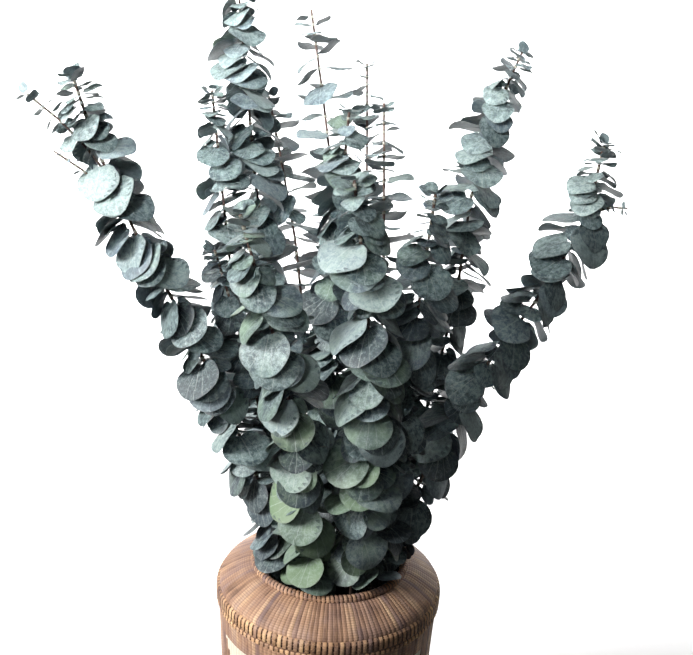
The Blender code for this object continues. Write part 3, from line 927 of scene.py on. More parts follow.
@dataclass
class VaseLooks:
    """The woven vase: splints from mouth to foot, edge weave, mouth lashing and glass liner."""

    height: float = 0.235
    mouth_radius: float = 0.061
    band_width: float = 0.008
    band_height: float = 0.005
    shoulder_radius: float = 0.098
    shoulder_drop: float = 0.022
    base_radius: float = 0.080
    belly_depth: float = 0.090
    belly_radius: float = 0.092
    wall: float = 0.004
    floor: float = 0.006
    splints: int = 144
    splint_rise: float = 0.00042
    splint_steps: int = 4
    edge_rows: int = 5
    edge_pitch: float = 0.00275
    edge_thickness: float = 0.0012
    edge_sway: float = 0.00015
    # The hoops' tone, below any strand's, paints them dark as painted shade under the straps and
    # stitches.
    hoop_tone: float = -0.15
    straps: int = 132
    strap_width: float = 0.0032
    strap_dome: float = 0.0003
    strap_depth: float = 0.0012
    stitches: int = 116
    stitch_width: float = 0.0025
    stitch_steps: int = 7
    stitch_slant: float = 0.022
    stitch_dome: float = 0.0003
    stitch_depth: float = 0.0009
    lashed_hoop: tuple[float, float] = (0.0023, 0.0024)
    lashed_sway: float = 0.0001
    lashed_waves: float = 7.0
    liner_wall: float = 0.0025
    collar_inset: float = 0.0006
    collar_profile: tuple[Corner, ...] = (
        (0.0010, -0.0110), (0.0, -0.0098), (0.0, -0.0005), (0.0008, 0.0),
    )
    edge_drop: float = 0.0030
    edge_inset: float = 0.0008
    edge_split: float = 0.62
    upper_profile: tuple[Corner, ...] = ((-0.0007, 0.0012), (-0.0030, 0.0026))
    lower_profile: tuple[Corner, ...] = ((-0.0003, -0.0016), (-0.0012, -0.0006))
    lashed_insets: tuple[float, float] = (0.0019, 0.0021)
    lashed_rise: float = 0.0015
    lashed_crown: float = 0.0008
    lip_profile: tuple[Corner, ...] = ((0.0, -0.0012), (0.0006, -0.0002), (0.00125, 0.0))
    sides: int = 144
    splint_finish: CaneFinish = CaneFinish(
        Strand.SPLINT, (112, 84, 68), (178, 140, 112), (230, 194, 156)
    )
    edge_finish: CaneFinish = CaneFinish(Strand.EDGE, (108, 78, 58), (200, 158, 118), (244, 206, 156))
    lashing_finish: CaneFinish = CaneFinish(
        Strand.LASHING, (106, 78, 62), (180, 140, 108), (224, 186, 148)
    )
    ring: GeometryGraph = field(default_factory=ring_tree)
    hoops: GeometryGraph = field(default_factory=hoop_tree)

    @property
    def edge(self) -> float:
        """The height of the shoulder's edge."""
        return self.height - self.shoulder_drop

    def outline(self) -> list[Corner]:
        """The splints' outer line as radius and height, from under the mouth band to the foot."""
        corners = [
            (self.mouth_radius + self.band_width * 0.6, self.height - self.band_height),
            (self.mouth_radius + self.band_width + 0.004, self.height - self.band_height - 0.001),
            (self.shoulder_radius - 0.010, self.edge + 0.0075),
            (self.shoulder_radius - 0.0015, self.edge + 0.001),
            (self.shoulder_radius - 0.0028, self.edge - 0.020),
            (self.belly_radius, self.edge - self.belly_depth),
            (self.base_radius, 0.0005),
        ]
        return rounded(corners, 1)

    def sunk(self, depth: float) -> list[Corner]:
        """The outline moved in by a depth, square to its own run."""
        line = self.outline()
        moved = []
        for index, (radius, height) in enumerate(line):
            near = line[max(index - 1, 0)]
            far = line[min(index + 1, len(line) - 1)]
            run = math.hypot(far[0] - near[0], far[1] - near[1])
            moved.append((
                radius + depth * (far[1] - near[1]) / run, height - depth * (far[0] - near[0]) / run
            ))
        return moved

    def splint(self) -> bpy.types.Object:
        """One splint at turn 0, domed across, its underside sunk in the lining."""
        half = FULL_TURN / self.splints / 2
        points, across = [], []
        steps = self.splint_steps
        shares = [2 * step / steps - 1 for step in range(steps + 1)]
        sinks = [self.splint_rise * (1 - math.sqrt(max(0.0, 1 - 0.96 * a * a))) for a in shares]
        shares += [1, -1]
        sinks += [self.splint_rise * 1.6] * 2
        lines = [self.sunk(sink) for sink in sinks]
        for row in range(len(lines[0])):
            for share, line in zip(shares, lines):
                radius, height = line[row]
                points.append(self.around(radius, height, share * half))
                across.append(float(share))
        rows, ring = len(lines[0]), len(lines)
        faces = turned_in(sleeve(rows, ring))
        faces += [tuple(range(ring)), tuple(reversed(range((rows - 1) * ring, rows * ring)))]
        mesh = mesh_of("splint", points, faces)
        keep(mesh, "strand_across", "FLOAT", across)
        return link("splint", mesh)

    @staticmethod
    def around(radius: float, height: float, turn: float) -> Point:
        """A point at a turn from the +X side."""
        return (radius * math.cos(turn), radius * math.sin(turn), height)

    def lining(self) -> bpy.types.Mesh:
        """The shell's wall behind the splints, with its floor."""
        outer = self.sunk(self.splint_rise * 1.3)
        outer[-1] = (outer[-1][0], 0.0)
        inner = rounded(
            [
                (self.mouth_radius + 0.0015, self.height - self.band_height - self.wall),
                (self.shoulder_radius - self.wall - 0.003, self.edge - 0.010),
                (self.belly_radius - self.wall, self.edge - self.belly_depth),
                (self.base_radius - self.wall, self.floor),
            ],
            1,
        )
        lip = [(self.mouth_radius + 0.0015, self.height - self.band_height)]
        profile = [(0.0, self.floor)] + inner[::-1] + lip + outer + [(0.0, 0.0)]
        return revolved("lining", profile, self.sides, LiningFinish().make())

    def build_body(self) -> None:
        """The woven body: the ring of splints on its lining."""
        splint = self.splint()
        carrier = link("body_carrier", self.lining())
        values = {
            "Piece": splint,
            "Count": self.splints,
            "Finish": self.splint_finish.make(),
            "Seed": 5,
        }
        mesh = self.ring.grow(carrier, values)
        remove(splint)
        radius = self.mouth_radius + self.collar_inset
        top = self.height - self.band_height + 0.0002
        collar = [(radius + out, top + rise) for out, rise in self.collar_profile]
        finish = self.lashing_finish.make()
        mesh = self.with_straps(link("body", mesh), collar, self.stitch_width, -1, 0.0, finish, 6)
        place_piece("woven_body", mesh, "vase_shell")

    def hoop_points(self, hoops: list[tuple[float, float, float, float]]) -> bpy.types.Object:
        """The carrier of a few hoops.

        Args:
            hoops: Each one's radius, height, phase and tone.

        Returns:
            An object with a point for each hoop.
        """
        mesh = mesh_of("hoops", [(0.0, 0.0, 0.0)] * len(hoops), [])
        names = ("hoop_radius", "hoop_height", "strand_phase", "strand_tone")
        for name, column in zip(names, zip(*hoops)):
            keep(mesh, name, "FLOAT", column)
        return link("hoops", mesh)

    def strap(self, line: list[Corner], width: float, side: int) -> bpy.types.Object:
        """A flat strap of cane along a rising line, at turn 0.

        Args:
            line: Its radius and height, from low to high.
            width: Its width.
            side: 1 for a strap that faces outwards and -1 for one that faces the axis.

        Returns:
            The strap, closed.
        """
        points, across = [], []
        section = ((-1, self.strap_dome), (0, 0.0), (1, self.strap_dome), (0, self.strap_depth))
        for radius, height in line:
            half = width / 2 / radius
            for share, sink in section:
                points.append(self.around(radius - side * sink, height, share * half))
                across.append(float(abs(share)))
        faces = self.strip_faces(len(line))
        if side < 0:
            faces = [face[::-1] for face in faces]
        mesh = mesh_of("strap", points, faces)
        keep(mesh, "strand_across", "FLOAT", across)
        return link("strap", mesh)

    @staticmethod
    def strip_faces(rows: int) -> list[tuple[int, ...]]:
        """The faces of a closed strip of four corners a row."""
        end = (rows - 1) * 4
        return sleeve(rows, 4) + [(3, 2, 1, 0), (end, end + 1, end + 2, end + 3)]

    def with_straps(
        self, carrier: bpy.types.Object, line: list[Corner], width: float, side: int,
        turn: float, finish: bpy.types.Material, seed: int,
    ) -> bpy.types.Mesh:
        """The carrier's mesh with a ring of straps.

        Args:
            carrier: What they are joined to. It is removed.
            line: Each strap's radius and height, from low to high.
            width: Its width.
            side: 1 where they face outwards, -1 where they face the axis.
            turn: The first one's turn.
            finish: Their finish.
            seed: What their tones are drawn from.

        Returns:
            The mesh.
        """
        strap = self.strap(line, width, side)
        values = {"Piece": strap, "Count": self.straps, "First Turn": turn}
        values |= {"Finish": finish, "Seed": seed}
        mesh = self.ring.grow(carrier, values)
        remove(strap)
        return mesh

    def build_edge(self) -> None:
        """The woven band round the shoulder's edge: hoops painted dark as painted shade, under two rows
        of upright straps.
        """
        finish = self.edge_finish.make()
        top = self.edge - self.edge_drop
        radius = self.shoulder_radius - self.edge_thickness / 2 - self.edge_sway - self.edge_inset
        hoops = [
            (radius, top - row * self.edge_pitch, 0.5 * (row % 2), self.hoop_tone)
            for row in range(self.edge_rows)
        ]
        carrier = self.hoop_points(hoops)
        values = {
            "Steps": self.straps * 4,
            "Waves": self.straps / 2,
            "Sway": self.edge_sway,
            "Thickness": self.edge_thickness,
            "Width": self.edge_pitch * 0.96,
            "Section": 6,
            "Finish": finish,
        }
        band = link("edge_band", self.hoops.grow(carrier, values))
        outer = self.shoulder_radius - 0.0001
        low = top - self.edge_rows * self.edge_pitch
        split = top - self.edge_rows * self.edge_pitch * self.edge_split
        upper = [(outer - 0.0010, split), (outer, split + 0.0010), (outer, top - 0.0010)]
        upper += [(outer + out, top + rise) for out, rise in self.upper_profile]
        lower = [(outer - 0.0018, low), (outer - 0.0003, low + 0.0010)]
        lower += [(outer + out, split + rise) for out, rise in self.lower_profile]
        mesh = self.with_straps(band, upper, self.strap_width, 1, 0.0, finish, 3)
        half = math.pi / self.straps
        mesh = self.with_straps(link("edge_band", mesh), lower, self.strap_width, 1, half, finish, 4)
        place_piece("edge_weave", mesh, "edge_braid")

    def stitch(self) -> bpy.types.Object:
        """One lashing stitch: a flat strip bound slantwise over the mouth band."""
        steps = self.stitch_steps
        section = ((-1, self.stitch_dome), (0, 0.0), (1, self.stitch_dome), (0, self.stitch_depth))
        middle = self.mouth_radius + self.band_width / 2
        base = self.height - self.band_height + 0.0004
        points, across = [], []
        for index in range(steps):
            share = index / (steps - 1)
            arc = math.pi * share
            reach = middle - (self.band_width / 2 - 0.0005) * math.cos(arc)
            lift = base + (self.band_height - 0.0005) * math.sin(arc) ** 0.7
            slant = self.stitch_slant * (share - 0.5)
            for side, sink in section:
                turn = slant + side * self.stitch_width / 2 / middle
                pull = sink * math.cos(arc)
                drop = sink * math.sin(arc)
                points.append(self.around(reach + pull, lift - drop, turn))
                across.append(float(abs(side)) * 0.8)
        mesh = mesh_of("stitch", points, self.strip_faces(steps))
        keep(mesh, "strand_across", "FLOAT", across)
        return link("stitch", mesh)

    def build_mouth(self) -> None:
        """The mouth band: three hoops of round cane, painted dark as painted shade, under a lashing."""
        finish = self.lashing_finish.make()
        inner = self.mouth_radius + self.lashed_insets[0]
        outer = self.mouth_radius + self.band_width - self.lashed_insets[1]
        low = self.height - self.band_height + self.lashed_rise
        hoops = [
            (inner, low, 0.0, self.hoop_tone),
            (outer, low, 0.2, self.hoop_tone),
            ((inner + outer) / 2, low + self.lashed_crown, 0.4, self.hoop_tone),
        ]
        carrier = self.hoop_points(hoops)
        values = {
            "Steps": self.splints * 2,
            "Waves": self.lashed_waves,
            "Sway": self.lashed_sway,
            "Thickness": self.lashed_hoop[0],
            "Width": self.lashed_hoop[1],
            "Section": 8,
            "Finish": finish,
        }
        band = link("band", self.hoops.grow(carrier, values))
        stitch = self.stitch()
        values = {"Piece": stitch, "Count": self.stitches, "Finish": finish, "Seed": 9}
        mesh = self.ring.grow(band, values)
        remove(stitch)
        place_piece("mouth_lashing", mesh, "mouth_braid")

    def build_liner(self) -> None:
        """The clear glass liner with its rounded lip."""
        low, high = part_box("inner_liner")
        outer = high.x
        inner = outer - self.liner_wall
        lip = high.z
        profile = [(0.0, low.z + 0.004), (inner - 0.002, low.z + 0.004), (inner, low.z + 0.006)]
        profile += [(inner + out, lip + rise) for out, rise in self.lip_profile]
        profile += [(outer - 0.0006, lip - 0.0002), (outer, lip - 0.0012)]
        profile += [(outer, low.z + 0.002), (outer - 0.002, low.z), (0.0, low.z)]
        mesh = revolved("liner", profile, self.sides, GlassFinish().make())
        place_piece("glass_liner", mesh, "inner_liner")

    def build(self) -> None:
        """Build every piece of the vase."""
        self.build_body()
        self.build_edge()
        self.build_mouth()
        self.build_liner()


# Branches


@dataclass(frozen=True)
class Twig:
    """A side twig: its share of the way up, its direction, its length and its leaves' size."""

    share: float
    aim: Point
    length: float
    leaf_size: float


@dataclass(frozen=True)
class Plan:
    """One branch: its stem's places, its leaves' size and hang, how green they are, and how much
    painted shade darkens them.
    """

    name: str
    mouth: tuple[float, float]
    through: tuple[Point, ...]
    tip: Point
    leaf_size: float
    hang: float
    fresh: float
    twigs: tuple[Twig, ...] = ()
    # depth: how much darker the branch's leaves are painted, as painted shade from the branches round
    # them.
    depth: float = 0.0


PLANS = (
    Plan(
        "branch_front", (0.020, -0.038), ((0.024, -0.100, 0.430),), (0.004, -0.120, 0.579),
        1.04, -36, 0.42,
    ),
    Plan(
        "branch_front_left", (-0.012, -0.038), ((-0.035, -0.100, 0.420),), (-0.068, -0.130, 0.555),
        0.95, -36, 0.50,
    ),
    Plan(
        "branch_far_left", (-0.038, -0.012), ((-0.112, -0.030, 0.430), (-0.173, -0.045, 0.557)),
        (-0.196, -0.050, 0.631), 0.95, -34, 0.12,
        (
            Twig(0.885, (-0.68, -0.12, 0.72), 0.080, 0.60),
            Twig(0.840, (-0.73, -0.14, 0.67), 0.068, 0.28),
        ),
    ),
    Plan(
        "branch_far_right", (0.047, -0.009), ((0.108, -0.030, 0.413), (0.170, -0.045, 0.533)),
        (0.179, -0.050, 0.602), 0.95, -36, 0.08, (Twig(0.915, (0.90, -0.30, 0.32), 0.030, 0.34),),
    ),
    Plan(
        "branch_front_right", (0.038, -0.027), ((0.052, -0.068, 0.440),), (0.060, -0.085, 0.567),
        0.88, -33, 0.22, depth=0.30,
    ),
    Plan(
        "branch_right", (0.046, 0.011), ((0.090, 0.030, 0.432), (0.105, 0.045, 0.583)),
        (0.131, 0.050, 0.661), 0.9, -32, 0.05, depth=0.10,
    ),
    Plan(
        "branch_centre", (0.001, -0.006), ((-0.008, -0.035, 0.449),), (-0.002, -0.045, 0.618),
        0.9, -34, 0.38,
    ),
    Plan(
        "branch_tall_left", (-0.027, 0.034), ((-0.075, 0.085, 0.499),), (-0.105, 0.125, 0.718),
        0.95, -38, 0.12,
    ),
    Plan(
        "branch_back_left", (-0.036, 0.020), ((-0.089, 0.060, 0.415),), (-0.118, 0.080, 0.617),
        0.85, -33, 0.18,
    ),
    Plan(
        "branch_left", (-0.041, 0.004), ((-0.070, 0.000, 0.390),), (-0.103, 0.000, 0.500),
        0.8, -30, 0.22, depth=0.30,
    ),
    Plan(
        "branch_back_inner_left", (-0.015, 0.045), ((-0.043, 0.105, 0.470),), (-0.076, 0.140, 0.610),
        0.9, -12, 0.2, depth=0.10,
    ),
    Plan(
        "branch_tall_back", (0.002, 0.048), ((-0.012, 0.100, 0.520),), (-0.040, 0.120, 0.685),
        0.86, 0, 0.12,
    ),
    Plan(
        "branch_back_right", (0.019, 0.044), ((0.018, 0.120, 0.480),), (0.010, 0.150, 0.642),
        0.72, 4, 0.2,
    ),
    Plan(
        "branch_back_far_right", (0.036, 0.030), ((0.034, 0.075, 0.460),), (0.026, 0.105, 0.612),
        0.76, 2, 0.15, depth=0.10,
    ),
)


@dataclass
class Leaf:
    """One leaf: where it grows, its axes, its size and its bend."""

    root: Vector
    stem_radius: float
    axes: tuple[Vector, Vector, Vector]
    length: float
    width: float
    fold: float
    droop: float
    tone: float = 0.5
    fresh: float = 0.0


@dataclass
class Stem:
    """One stem or twig: its line and radii, its leaves' size and hang, and the spots of its pairs."""

    branch: str
    number: int
    points: list[Vector]
    radii: tuple[float, float]
    leaf_size: float
    hang: float
    spots: list[tuple[float, float]] = field(default_factory=list)


@dataclass(frozen=True)
class Rule:
    """How a leaf is tried: the spread of its turn, its sizes and bends, its room and thickness."""

    turn_spread: float
    sizes: tuple[float, ...]
    bends: tuple[float, ...]
    gap: float
    thickness: float


class Growth:
    """The leaves placed so far, so that no leaf crosses another branch or the vase."""

    reach_factor: float = 1.5

    def __init__(self, fixed: list[BVHTree], stems: dict[str, BVHTree], shape: "LeafShape") -> None:
        """Start with the vase and the bare stems.

        Args:
            fixed: The vase's pieces.
            stems: Each branch's stem.
            shape: The plain shape that leaves are tried with.
        """
        self.fixed = fixed
        self.stems = stems
        self.shape = shape
        self.leaves: list[tuple] = []

    def clear(self, node: tuple, leaf: Leaf, rule: Rule) -> bool:
        """Whether the leaf stays clear of the vase, the other stems and the other leaves.

        Args:
            node: The leaf's branch and pair. It may touch the pair's other leaf.
            leaf: The leaf.
            rule: What it is tried by.

        Returns:
            True where nothing is crossed.
        """
        points, faces = self.shape.solid(leaf, rule.thickness + 2 * rule.gap, rule.gap)
        shape = BVHTree.FromPolygons(points, faces)
        if any(shape.overlap(tree) for tree in self.fixed):
            return False
        if any(shape.overlap(tree) for name, tree in self.stems.items() if name != node[0]):
            return False
        for other, centre, reach, tree in self.leaves:
            if other == node:
                continue
            if (centre - leaf.root).length > reach + leaf.length * self.reach_factor:
                continue
            if shape.overlap(tree):
                return False
        return True

    def add(self, node: tuple, leaf: Leaf, rule: Rule) -> None:
        """Keep the leaf's own shape for the leaves that follow."""
        points, faces = self.shape.solid(leaf, rule.thickness, 0.0)
        tree = BVHTree.FromPolygons(points, faces)
        self.leaves.append((node, leaf.root.copy(), leaf.length * self.reach_factor, tree))


@dataclass(frozen=True)
class LeafShape:
    """The plain solid form of a leaf, which places are tried with."""

    root_depth: float = 0.0006
    neck_length: float = 0.0018
    neck_half_width: float = 0.0008
    roundness: float = 0.52
    large_leaf: float = 0.036
    small_leaf: float = 0.020
    large_angles: tuple[int, ...] = (122, 62, 0)
    angles: tuple[int, ...] = (105, 36)
    small_angles: tuple[int, ...] = (95, 0)

    def turns(self, width: float) -> tuple[int, ...]:
        """The outline's turns from the leaf's tip, more of them on a larger leaf."""
        if width < self.small_leaf:
            return self.small_angles
        return self.large_angles if width > self.large_leaf else self.angles

    def outline(self, length: float, width: float, stem_radius: float) -> list[Corner]:
        """The round outline in the leaf's own plane: root first, then round by the tip.

        Args:
            length: The blade's length.
            width: The blade's width.
            stem_radius: The stem's radius at the leaf.

        Returns:
            Corners as distance out and across.
        """
        neck = stem_radius + self.neck_length
        round_length = self.roundness * length
        side = [(neck, self.neck_half_width)]
        for angle in self.turns(width):
            turn = math.radians(angle)
            out = neck + round_length + round_length * math.cos(turn)
            side.append((out, self.roundness * width * math.sin(turn)))
        mirrored = [(x, -y) for x, y in reversed(side) if y > 0]
        return [(-self.root_depth, 0.0)] + side + mirrored

    def solid(self, leaf: Leaf, thickness: float, grow: float) -> tuple[list[Vector], list[tuple]]:
        """The corners and triangles of a leaf that thins to a point in the stem.

        Args:
            leaf: The leaf.
            thickness: The solid's thickness.
            grow: How much wider it is on each side.

        Returns:
            Its corners and its triangles.
        """
        out, across, up = leaf.axes
        corners = []
        for x, y in self.outline(leaf.length + grow, leaf.width + 2 * grow, leaf.stem_radius):
            rise = leaf.fold * abs(y) - leaf.droop * max(x, 0.0) ** 2 / leaf.length
            corners.append(leaf.root + out * x + across * y + up * rise)
        half = up * thickness / 2
        count = len(corners)
        points = corners[:1] + [p + half for p in corners[1:]] + [p - half for p in corners[1:]]
        top = [(0, count - 1, 1)]
        for i in range(1, count // 2):
            top.append((i, count - i, i + 1))
            if i + 1 < count - i - 1:
                top.append((i + 1, count - i, count - i - 1))
        under = count - 1
        bottom = [tuple(k + under if k else 0 for k in reversed(face)) for face in top]
        sides = [(0, 1, 1 + under), (0, count - 1 + under, count - 1)]
        for i in range(1, count - 1):
            sides.append((i, i + 1, i + 1 + under))
            sides.append((i, i + 1 + under, i + under))
        return points, top + bottom + sides


@dataclass
class BranchLooks:
    """Every branch: stems by their plan, crossed leaf pairs by the placing rule, and infill pairs."""

    stem_radii: tuple[float, float] = (0.0021, 0.0010)
    foot_share: float = 0.55
    foot_height: float = 0.0109
    mouth_height: float = 0.235
    stem_points: int = 9
    twig_radii: tuple[float, float] = (0.0010, 0.0007)
    twig_points: int = 4
    twig_sweep: float = 0.4
    twig_bare_share: float = 0.4
    twig_hang: float = 0
    leaf_width: float = 0.0375
    leaf_length: float = 0.0318
    wide_spacing: float = 0.0286
    tip_spacing: float = 0.010
    wide_below: float = 0.080
    bare_tip: float = 0.001
    first_pair_height: float = 0.236
    tip_size: float = 0.34
    full_size_below: float = 0.055
    lowest_size: float = 0.8
    tip_climb: float = 35
    climb_below: float = 0.022
    climb_spread: float = 14
    front: Point = (0.0, -1.0, 0.0)
    first_turn: float = 45
    first_turn_spread: float = 20
    roll_spread: float = 22
    size_range: tuple[float, float] = (0.86, 1.08)
    width_range: tuple[float, float] = (0.94, 1.06)
    fold_range: tuple[float, float] = (0.02, 0.22)
    droop_range: tuple[float, float] = (-0.05, 0.20)
    pairs: Rule = Rule(14, (1.0, 0.9, 0.8, 0.7, 0.6), (0, 14, -14, 28, -28, 45, 62), 0.0009, 0.0009)
    seed: int = 8
    infill_passes: tuple[tuple[float, float, float], ...] = (
        (0.50, 0.98, 0), (0.25, 0.90, 22), (0.75, 0.90, -22), (0.38, 0.7, 60), (0.88, 0.7, 80),
    )
    filler: Rule = Rule(
        28, (1.0, 0.9, 0.8, 0.7, 0.6, 0.5, 0.42), (0, 8, -8, 16, -16, 26, -26, 38, 52), 0.0002, 0.00045
    )
    sparse_above: float = -20
    infill_tone: float = 0.66
    shaded_heights: tuple[float, float] = (0.26, 0.48)
    # Low leaves take darker tones: partly older leaves, partly painted shade.
    low_age_and_shade: float = 0.28
    low_fresh: float = 0.5
    fresh_spread: float = 0.14
    young_share: float = 0.015
    young_fresh: float = 0.45
    # Leaves near the crown take paler tones: partly waxier young leaves, partly painted light.
    crown_wax: float = 0.42
    crown_height: float = 0.60
    blade_rows: int = 10
    blade_columns: tuple[float, ...] = (-1.0, -0.52, 0.0, 0.52, 1.0)
    blade_notch: float = 0.09
    blade_lobe: float = 0.05
    rib_points: int = 6
    rib_reach: tuple[float, float] = (-1.0, 0.75)
    rib_radii: tuple[float, float] = (0.00067, 0.00012)
    swelling: float = 1.4
    node_reach: float = 0.0022
    shape: LeafShape = LeafShape()
    tree: GeometryGraph = field(default_factory=branch_tree)

    # Stem lines

    def stem_path(self, knots: list[Vector], count: int) -> list[Vector]:
        """Points on the smooth curve through the knots, evenly spaced in its own measure.

        Args:
            knots: What the curve passes through.
            count: How many points it has.

        Returns:
            The points.
        """
        ends = [2 * knots[0] - knots[1], *knots, 2 * knots[-1] - knots[-2]]
        times = [0.0]
        for a, b in zip(ends, ends[1:]):
            times.append(times[-1] + (b - a).length ** 0.5)
        points = []
        for step in range(count):
            t = times[1] + (times[-2] - times[1]) * step / (count - 1)
            part = 0
            while part < len(knots) - 2 and t > times[part + 2]:
                part += 1
            points.append(self.spline_point(ends[part : part + 4], times[part : part + 4], t))
        return points

    @staticmethod
    def spline_point(near: list[Vector], at: list[float], t: float) -> Vector:
        """The curve's point between the second and third of four knots, by repeated blending."""
        row = list(near)
        for spans in (((0, 1), (1, 2), (2, 3)), ((0, 2), (1, 3)), ((1, 2),)):
            shares = [(t - at[low]) / (at[high] - at[low]) for low, high in spans]
            row = [row[i].lerp(row[i + 1], share) for i, share in enumerate(shares)]
        return row[0]

    def branch_path(self, plan: Plan) -> list[Vector]:
        """The points of a branch's stem, from its cut end to its tip."""
        mouth = Vector((*plan.mouth, self.mouth_height))
        foot = Vector((mouth.x * self.foot_share, mouth.y * self.foot_share, self.foot_height))
        bends = [Vector(point) for point in plan.through]
        return self.stem_path([foot, mouth, *bends, Vector(plan.tip)], self.stem_points)

    def twig_path(self, points: list[Vector], twig: Twig) -> list[Vector]:
        """A short side twig's points, rising from the stem."""
        root, tangent = self.along(points, self.path_length(points) * twig.share)
        aim = Vector(twig.aim).normalized()
        middle = root + (aim + tangent * self.twig_sweep).normalized() * twig.length / 2
        return self.stem_path([root, middle, root + aim * twig.length], self.twig_points)

    @staticmethod
    def along(points: list[Vector], distance: float) -> tuple[Vector, Vector]:
        """The point and the direction of the line at a distance from its start."""
        for a, b in zip(points, points[1:]):
            step = (b - a).length
            if distance <= step:
                return a.lerp(b, distance / step), (b - a).normalized()
            distance -= step
        return points[-1].copy(), (points[-1] - points[-2]).normalized()

    @staticmethod
    def path_length(points: list[Vector]) -> float:
        """The length of the line."""
        return sum((b - a).length for a, b in zip(points, points[1:]))

    @staticmethod
    def tube(points: list[Vector], radii: list[float]) -> BVHTree:
        """A four-sided tube round a line, to try leaves against."""
        corners = []
        for index, (point, radius) in enumerate(zip(points, radii)):
            ahead = points[min(index + 1, len(points) - 1)] - points[max(index - 1, 0)]
            side = ahead.orthogonal().normalized() * radius
            other = ahead.normalized().cross(side)
            corners += [point + side, point + other, point - side, point - other]
        return BVHTree.FromPolygons(corners, sleeve(len(points), 4))

    # Leaves

    def pair_spots(
        self, points: list[Vector], first: float, size: float
    ) -> list[tuple[float, float]]:
        """Distances of the leaf pairs along the stem, closer together towards the tip."""
        total = self.path_length(points)
        spots = []
        at = first
        while at < total - self.bare_tip:
            share = (at - first) / (total - first)
            spots.append((at, share))
            widening = min(1.0, (total - at) / self.wide_below) * (1 + size) / 2
            at += self.tip_spacing + (self.wide_spacing - self.tip_spacing) * widening
        return spots

    def first_pair(self, points: list[Vector]) -> float:
        """How far up the stem the first leaves grow, just above the mouth."""
        done = 0.0
        for a, b in zip(points, points[1:]):
            if b.z >= self.first_pair_height:
                return done + (b - a).length * (self.first_pair_height - a.z) / (b.z - a.z)
            done += (b - a).length
        return done

    def leaf_frame(
        self, tangent: Vector, turn: float, climb: float, roll: float
    ) -> tuple[Vector, Vector, Vector]:
        """A leaf's own axes: outwards, across and up, climbing from the stem's cross-plane."""
        front = Vector(self.front)
        side = (front - tangent * front.dot(tangent)).normalized()
        side.rotate(Matrix.Rotation(turn, 3, tangent))
        out = (side * math.cos(climb) + tangent * math.sin(climb)).normalized()
        across = tangent.cross(side).normalized()
        across.rotate(Matrix.Rotation(roll, 3, out))
        return out, across, out.cross(across)

    def shrink(self, share: float, below: float) -> float:
        """How much smaller the leaves are at a share of the way up and so far below the tip."""
        growth = min(1.0, below / self.full_size_below)
        return (self.tip_size + (1 - self.tip_size) * growth) * min(1.0, self.lowest_size + share)

    def climb_at(self, hang: float, below: float) -> float:
        """The degrees that leaves climb so far below the tip, the youngest ones upright."""
        return hang + (self.tip_climb - hang) * max(0.0, 1 - below / self.climb_below)

    def start_turn(self, dice: random.Random) -> float:
        """The turn of a stem's first leaf from the front."""
        spread = self.first_turn_spread
        return math.radians(self.first_turn + dice.uniform(-spread, spread))

    def grow_pairs(self, growth: Growth, stem: Stem, dice: random.Random) -> list[Leaf]:
        """Place the crossed pairs of one stem or twig.

        Args:
            growth: What is placed so far.
            stem: The stem or twig, with its pairs' spots.
            dice: The random numbers, drawn in one order.

        Returns:
            The leaves.
        """
        start = self.start_turn(dice)
        found = []
        for number, spot in enumerate(stem.spots):
            for half in range(2):
                turn = start + number * math.pi / 2 + half * math.pi
                pair = (stem.branch, stem.number, number)
                found.append(self.placed(growth, stem, pair, spot, 1.0, turn, dice, self.pairs))
        return [leaf for leaf in found if leaf]

    def infill(
        self, growth: Growth, stem: Stem, dice: random.Random, box: Box
    ) -> tuple[list[Leaf], list[float]]:
        """Place further pairs between the others, where they are clear.

        Args:
            growth: What is placed so far.
            stem: The stem or twig.
            dice: The random numbers, drawn in one order.
            box: The corners that the leaves stay within.

        Returns:
            The leaves, and the first pass's distances along the stem.
        """
        leaves, spots = [], []
        ends = stem.spots + [(self.path_length(stem.points), 1.0)]
        passes = self.infill_passes if stem.hang < self.sparse_above else self.infill_passes[:1]
        for place, ratio, first in passes:
            for number, ((near, low), (far, high)) in enumerate(zip(ends, ends[1:])):
                spot = (near + (far - near) * place, low + (high - low) * place)
                start = math.radians(first) + number * math.pi / 2
                pair = (stem.branch, stem.number, number, place)
                found = [
                    self.placed(
                        growth, stem, pair, spot, ratio, start + half * math.pi, dice, self.filler, box
                    )
                    for half in range(2)
                ]
                leaves += [leaf for leaf in found if leaf]
                if any(found) and place == self.infill_passes[0][0]:
                    spots.append(spot[0])
        return leaves, spots

